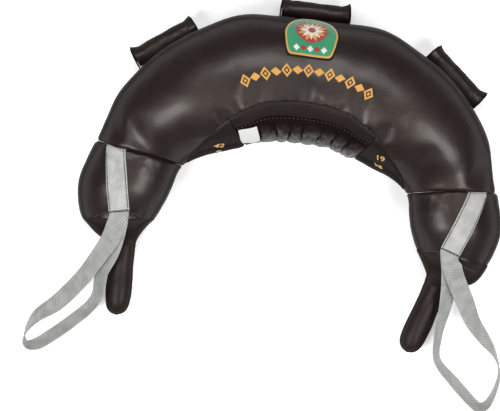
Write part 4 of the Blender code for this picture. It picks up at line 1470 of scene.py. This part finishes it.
CHAIN_REACH = 0.2305
CHAIN_END_REACH = 0.2245
CHAIN_ANGLES = (-25.0, 24.0)
CHAIN_COUNT = 13
CHAIN_HALF_LENGTH = 0.0082
CHAIN_HALF_HEIGHT = 0.0100
CHAIN_SMALL_SHARE = 0.62
CHAIN_LAYERS = (
    ("chain_gold_", 1.0, 0.0007, 0.0002),
    ("chain_heart_", 0.58, 0.0009, 0.0),
    ("chain_seed_", 0.28, 0.0011, 0.0002),
)
WEIGHT_MARKS = (
    ("pound_figures", "42", 0.0145, -50.1, 151.3, -33.0),
    ("pound_unit", "lb", 0.0120, -52.2, 166.0, -33.0),
    ("kilogram_figures", "19", 0.0145, 47.5, 141.6, 34.0),
    ("kilogram_unit", "kg", 0.0120, 50.1, 154.3, 34.0),
)


def girth_at_reach(angle, reach):
    """Girth on the upper side at which the leather is that far from the arc's centre."""
    radius, width, depth = body_size(angle)
    return math.acos(min((reach - radius + draw_in(angle)) / width, 1.0)) / DEGREE


def chain_place(angle):
    drawn = (CHAIN_REACH - CHAIN_END_REACH) * (angle / CHAIN_ANGLES[0]) ** 2
    middle = girth_at_reach(angle, CHAIN_REACH - drawn)

    def place(along, down, lift):
        girth = middle + girth_of(down, angle)
        return on_leather(angle + along / CHAIN_REACH / DEGREE, girth, lift)
    return place


def chain_reach(half_height, share):
    """Edge of a lozenge of the chain in a direction, or of a share of it."""
    def reach(turn):
        slope = abs(math.cos(turn)) * half_height / CHAIN_HALF_LENGTH + abs(math.sin(turn))
        return half_height / slope * share
    return reach


for step in range(CHAIN_COUNT):
    angle = CHAIN_ANGLES[0] + (CHAIN_ANGLES[1] - CHAIN_ANGLES[0]) * step / (CHAIN_COUNT - 1)
    large = step % 2 == 0
    size = CHAIN_HALF_HEIGHT * (1.0 if large else CHAIN_SMALL_SHARE)
    for name, share, *heights in CHAIN_LAYERS[:3 if large else 1]:
        outline = chain_reach(size, share)
        piece = embroidery(name + str(step + 1), outline, chain_place(angle), *heights, turns=48)
        if name == "chain_heart_":
            dress(piece, leather, "leather")
        else:
            dress(piece, gold_thread, "patch")

gusset_ground = sewing_ground(gusset_ends)


def figures(name, text, size, angle, girth, tilt):
    """Sewn figures, laid on the gusset leather."""
    curve = bpy.data.curves.new(name, "FONT")
    curve.body = text
    curve.size = size
    curve.align_x = "CENTER"
    curve.align_y = "CENTER"
    curve.extrude = 0.0003
    curve.offset = size * 0.012
    letters = bpy.data.objects.new(name + "_outline", curve)
    bpy.context.scene.collection.objects.link(letters)
    flat = shaped_mesh(letters)
    bpy.data.objects.remove(letters)
    bm = bmesh.new()
    bm.from_mesh(flat)
    bpy.data.meshes.remove(flat)
    bmesh.ops.subdivide_edges(bm, edges=[e for e in bm.edges if e.calc_length() > 0.003], cuts=1)
    uv = bm.loops.layers.uv.get("cut") or bm.loops.layers.uv.new("cut")
    for face in bm.faces:
        for loop in face.loops:
            loop[uv].uv = loop.vert.co.xy
    reach = arc_reach(angle, girth)
    turn = tilt * DEGREE
    for vert in bm.verts:
        x, y, z = vert.co
        along = x * math.cos(turn) - y * math.sin(turn)
        up = x * math.sin(turn) + y * math.cos(turn)
        vert.co = on_leather(angle + along / reach / DEGREE, girth - girth_of(up, angle),
                             0.0007 + z, gusset_ground)
    return as_object(name, bm, smooth=False)


for mark in WEIGHT_MARKS:
    dress(figures(*mark), gold_thread, "patch")

# A blank white cloth tab is caught in the stitch line at the left of the gathers and hangs
# down over them.

LABEL_WIDTH = 0.0285
LABEL_DROP = 0.0405
LABEL_ANGLE = -32.7
LABEL_GIRTH = 151.3
LABEL_SLANT_SHARE = -0.15
LABEL_THICKNESS = 0.0006
LABEL_GAP = 0.0009
LABEL_CREST = 0.0012
LABEL_CURL = 0.0009


def cloth_finish(name, colour):
    finish = Finish(name, roughness=0.85)
    weave = finish.add("TexWave", finish.cut_place(), Scale=260.0, Distortion=1.0, Detail=2.0)
    finish.tones(weave.outputs["Fac"], colour, 0.86, 1.0)
    finish.relief((weave.outputs["Fac"], 0.3, 0.0003))
    return finish.material


rows = []
for across in spread(-1.0, 1.0, 14):
    row = []
    for down in spread(-1.0, 1.0, 18):
        girth = LABEL_GIRTH + girth_of(down * LABEL_DROP / 2.0, LABEL_ANGLE)
        slanted = across + down * LABEL_SLANT_SHARE
        reach = arc_reach(LABEL_ANGLE, girth)
        angle = LABEL_ANGLE + slanted * LABEL_WIDTH / 2.0 / reach / DEGREE
        crest = LABEL_CREST * (1.0 - clamped((180.0 - girth) / band_reach(angle)) ** 2.6)
        curl = LABEL_CURL * math.sin(across * 2.6 + 0.8) * (0.4 + 0.6 * (down + 1.0) / 2.0)
        row.append(body_point(angle, girth, crest + LABEL_GAP + curl))
    rows.append(row)
tab = leather_cloth("blank_tab", rows)
finish_mesh(tab, thickness=LABEL_THICKNESS)
dress(tab, cloth_finish("white tab cloth", (0.70, 0.70, 0.67)), "tab", "label")

# Everything is held by thread: pale stitches along the gathers and the creases, and dark
# lockstitch along both edges of the strips and across them where the loops are caught.

STITCH_BAR = ((0.0, -0.3, 0.6), (0.2, 0.6, 1.0), (0.8, 0.6, 1.0), (1.0, -0.3, 0.6))
STITCH_SIDES = 6
GATHER_STITCH = {"pitch": 0.0062, "share": 0.50, "width": 0.0010, "thickness": 0.0006}
CREASE_STITCH = {"pitch": 0.0026, "share": 0.85, "width": 0.0008, "thickness": 0.0005}
CREASE_STITCH_GIRTHS = {
    "left": ((52.0, 78.0), (108.0, 134.0)),
    "right": ((46.0, 80.0), (116.0, 158.0)),
}
STRIP_STITCH = {"pitch": 0.0036, "share": 0.74, "width": 0.0014, "thickness": 0.0007}
CROSS_STITCH = {"pitch": 0.0032, "share": 0.70}
CROSS_STITCH_SHARE = 0.975


def stitches(name, places, width, thickness):
    """Thread between pairs of points, each stitch a small rounded bar that dips at its ends."""
    bm = bmesh.new()
    turns = [2.0 * math.pi * step / STITCH_SIDES for step in range(STITCH_SIDES)]
    for start, end, normal in places:
        run = end - start
        across = run.cross(normal).normalized() * width / 2.0
        rings = []
        for share, lift, size in STITCH_BAR:
            middle = start + run * share + normal * thickness * lift
            rings.append([
                bm.verts.new(middle + across * math.cos(turn) * size
                             + normal * thickness * math.sin(turn) * size * 0.6)
                for turn in turns
            ])
        for upper, lower in zip(rings, rings[1:]):
            for step in range(STITCH_SIDES):
                near = (step + 1) % STITCH_SIDES
                bm.faces.new([upper[step], upper[near], lower[near], lower[step]])
        bm.faces.new(rings[0])
        bm.faces.new(rings[-1])
    bmesh.ops.recalc_face_normals(bm, faces=bm.faces)
    return as_object(name, bm)


def stitch_line(points, normals, pitch, share):
    """Pairs of points for stitches of one length along a line of close points."""
    places = []
    walked = 0.0
    begun = None
    for index in range(len(points) - 1):
        step = (points[index + 1] - points[index]).length
        phase = (walked % pitch) / pitch
        if phase < share and begun is None:
            begun = index
        if phase >= share and begun is not None:
            places.append((points[begun], points[index], normals[index]))
            begun = None
        walked += step
    return places


def plain_thread(name, colour):
    finish = Finish(name, roughness=0.6)
    twist = finish.add("TexNoise", finish.place(), Scale=900.0, Detail=2.0)
    finish.tones(twist.outputs["Fac"], colour, 0.6, 1.0)
    return finish.material


pale_thread = plain_thread("pale thread", (0.100, 0.087, 0.078))
dark_thread = plain_thread("dark thread", (0.016, 0.014, 0.013))

points, normals = [], []
for angle in spread(-GATHER_ANGLE + 1.0, GATHER_ANGLE - 1.0, 900):
    girth = 180.0 - band_reach(angle) + girth_of(0.0006, angle)
    points.append(body_point(angle, girth, -0.0006))
    normals.append(body_normal(angle, girth))
places = stitch_line(points, normals, GATHER_STITCH["pitch"], GATHER_STITCH["share"])
sewn = stitches("gather_stitches", places, GATHER_STITCH["width"], GATHER_STITCH["thickness"])
dress(sewn, pale_thread, "inner_leather")

for side, ranges in CREASE_STITCH_GIRTHS.items():
    places = []
    for first, last in ranges:
        points, normals = [], []
        for girth in spread(first, last, 160):
            angle = SIDES[side] * table_row(CREASE_ARCS[side], girth)[0]
            points.append(on_leather(angle, girth, 0.0001))
            normals.append(body_normal(angle, girth))
        places += stitch_line(points, normals, CREASE_STITCH["pitch"], CREASE_STITCH["share"])
    sewn = stitches(side + "_crease_stitches", places,
                    CREASE_STITCH["width"], CREASE_STITCH["thickness"])
    dress(sewn, pale_thread, "leather")


def strip_line(side, spots, pitch, share):
    """Stitches through spots on the strip: a share along it, its middle's distance, a lift."""
    points = [strip_point(side, *spot) for spot in spots]
    normals = [body_normal(*strip_place(side, along, across)) for along, across, lift in spots]
    return stitch_line(points, normals, pitch, share)


for side in SIDES:
    places = []
    for edge in (-1, 1):
        across = edge * (WEBBING_WIDTH / 2.0 - STITCH_INSET)
        lift = strip_lift(across) + 0.0003
        spots = [(along, across, lift) for along in spread(0.02, 0.97, 500)]
        places += strip_line(side, spots, STRIP_STITCH["pitch"], STRIP_STITCH["share"])
    spots = [(CROSS_STITCH_SHARE, WEBBING_WIDTH * share, STRIP_RISE + 0.0002)
             for share in spread(-0.5, 0.5, 200)]
    places += strip_line(side, spots, CROSS_STITCH["pitch"], CROSS_STITCH["share"])
    sewn = stitches(side + "_strip_stitches", places,
                    STRIP_STITCH["width"], STRIP_STITCH["thickness"])
    dress(sewn, dark_thread, "strip")

# The bag lies on a white studio floor under large soft lights at its left, its right and
# behind it, and the camera looks straight down on it.

CAMERA_HEIGHT = 4.0
CAMERA_PLACE = (-0.0455, -0.0254)
CAMERA_ROLL = 6.8
CAMERA_LENS = 183.5
CAMERA_SENSOR = 36.0
CAMERA_FAR_CLIP = 50.0
FLOOR_HALF_SIZE = 6.0
FLOOR_GLOW = 0.40
WORLD_GLOW = 0.06
WHITE = (1.0, 1.0, 1.0, 1.0)
SOFTBOXES = (
    ("left_softbox", (-1.15, -0.90, 2.3), (-0.1, 0.05, 0.0), (1.0, 1.0), 44.0),
    ("right_softbox", (1.40, -0.70, 2.3), (0.1, 0.05, 0.0), (1.0, 1.0), 42.0),
    ("back_softbox", (0.00, 1.10, 2.3), (0.0, 0.15, 0.0), (1.6, 0.6), 26.0),
)

bm = bmesh.new()
bmesh.ops.create_grid(bm, x_segments=1, y_segments=1, size=FLOOR_HALF_SIZE)
floor = as_object("studio_floor", bm, smooth=False)
floor_finish = Finish("white floor", roughness=0.9)
floor_finish.inputs["Base Color"].default_value = (0.93, 0.93, 0.93, 1.0)
floor_finish.inputs["Emission Color"].default_value = WHITE
floor_finish.inputs["Emission Strength"].default_value = FLOOR_GLOW
floor.data.materials.append(floor_finish.material)

for name, place, aim, size, power in SOFTBOXES:
    data = bpy.data.lights.new(name, "AREA")
    data.shape = "RECTANGLE"
    data.size, data.size_y = size
    data.energy = power
    light = bpy.data.objects.new(name, data)
    light.location = place
    light.rotation_euler = (Vector(aim) - Vector(place)).to_track_quat("-Z", "Y").to_euler()
    bpy.context.scene.collection.objects.link(light)

world = bpy.data.worlds.new("studio")
world.use_nodes = True
background = world.node_tree.nodes["Background"]
background.inputs["Color"].default_value = WHITE
background.inputs["Strength"].default_value = WORLD_GLOW
bpy.context.scene.world = world
bpy.context.scene.view_settings.view_transform = "Standard"

camera_data = bpy.data.cameras.new("studio_camera")
camera_data.lens = CAMERA_LENS
camera_data.sensor_width = CAMERA_SENSOR
camera_data.clip_end = CAMERA_FAR_CLIP
camera = bpy.data.objects.new("studio_camera", camera_data)
camera.location = (*CAMERA_PLACE, CAMERA_HEIGHT)
camera.rotation_euler = (0.0, 0.0, CAMERA_ROLL * DEGREE)
bpy.context.scene.collection.objects.link(camera)
bpy.context.scene.camera = camera
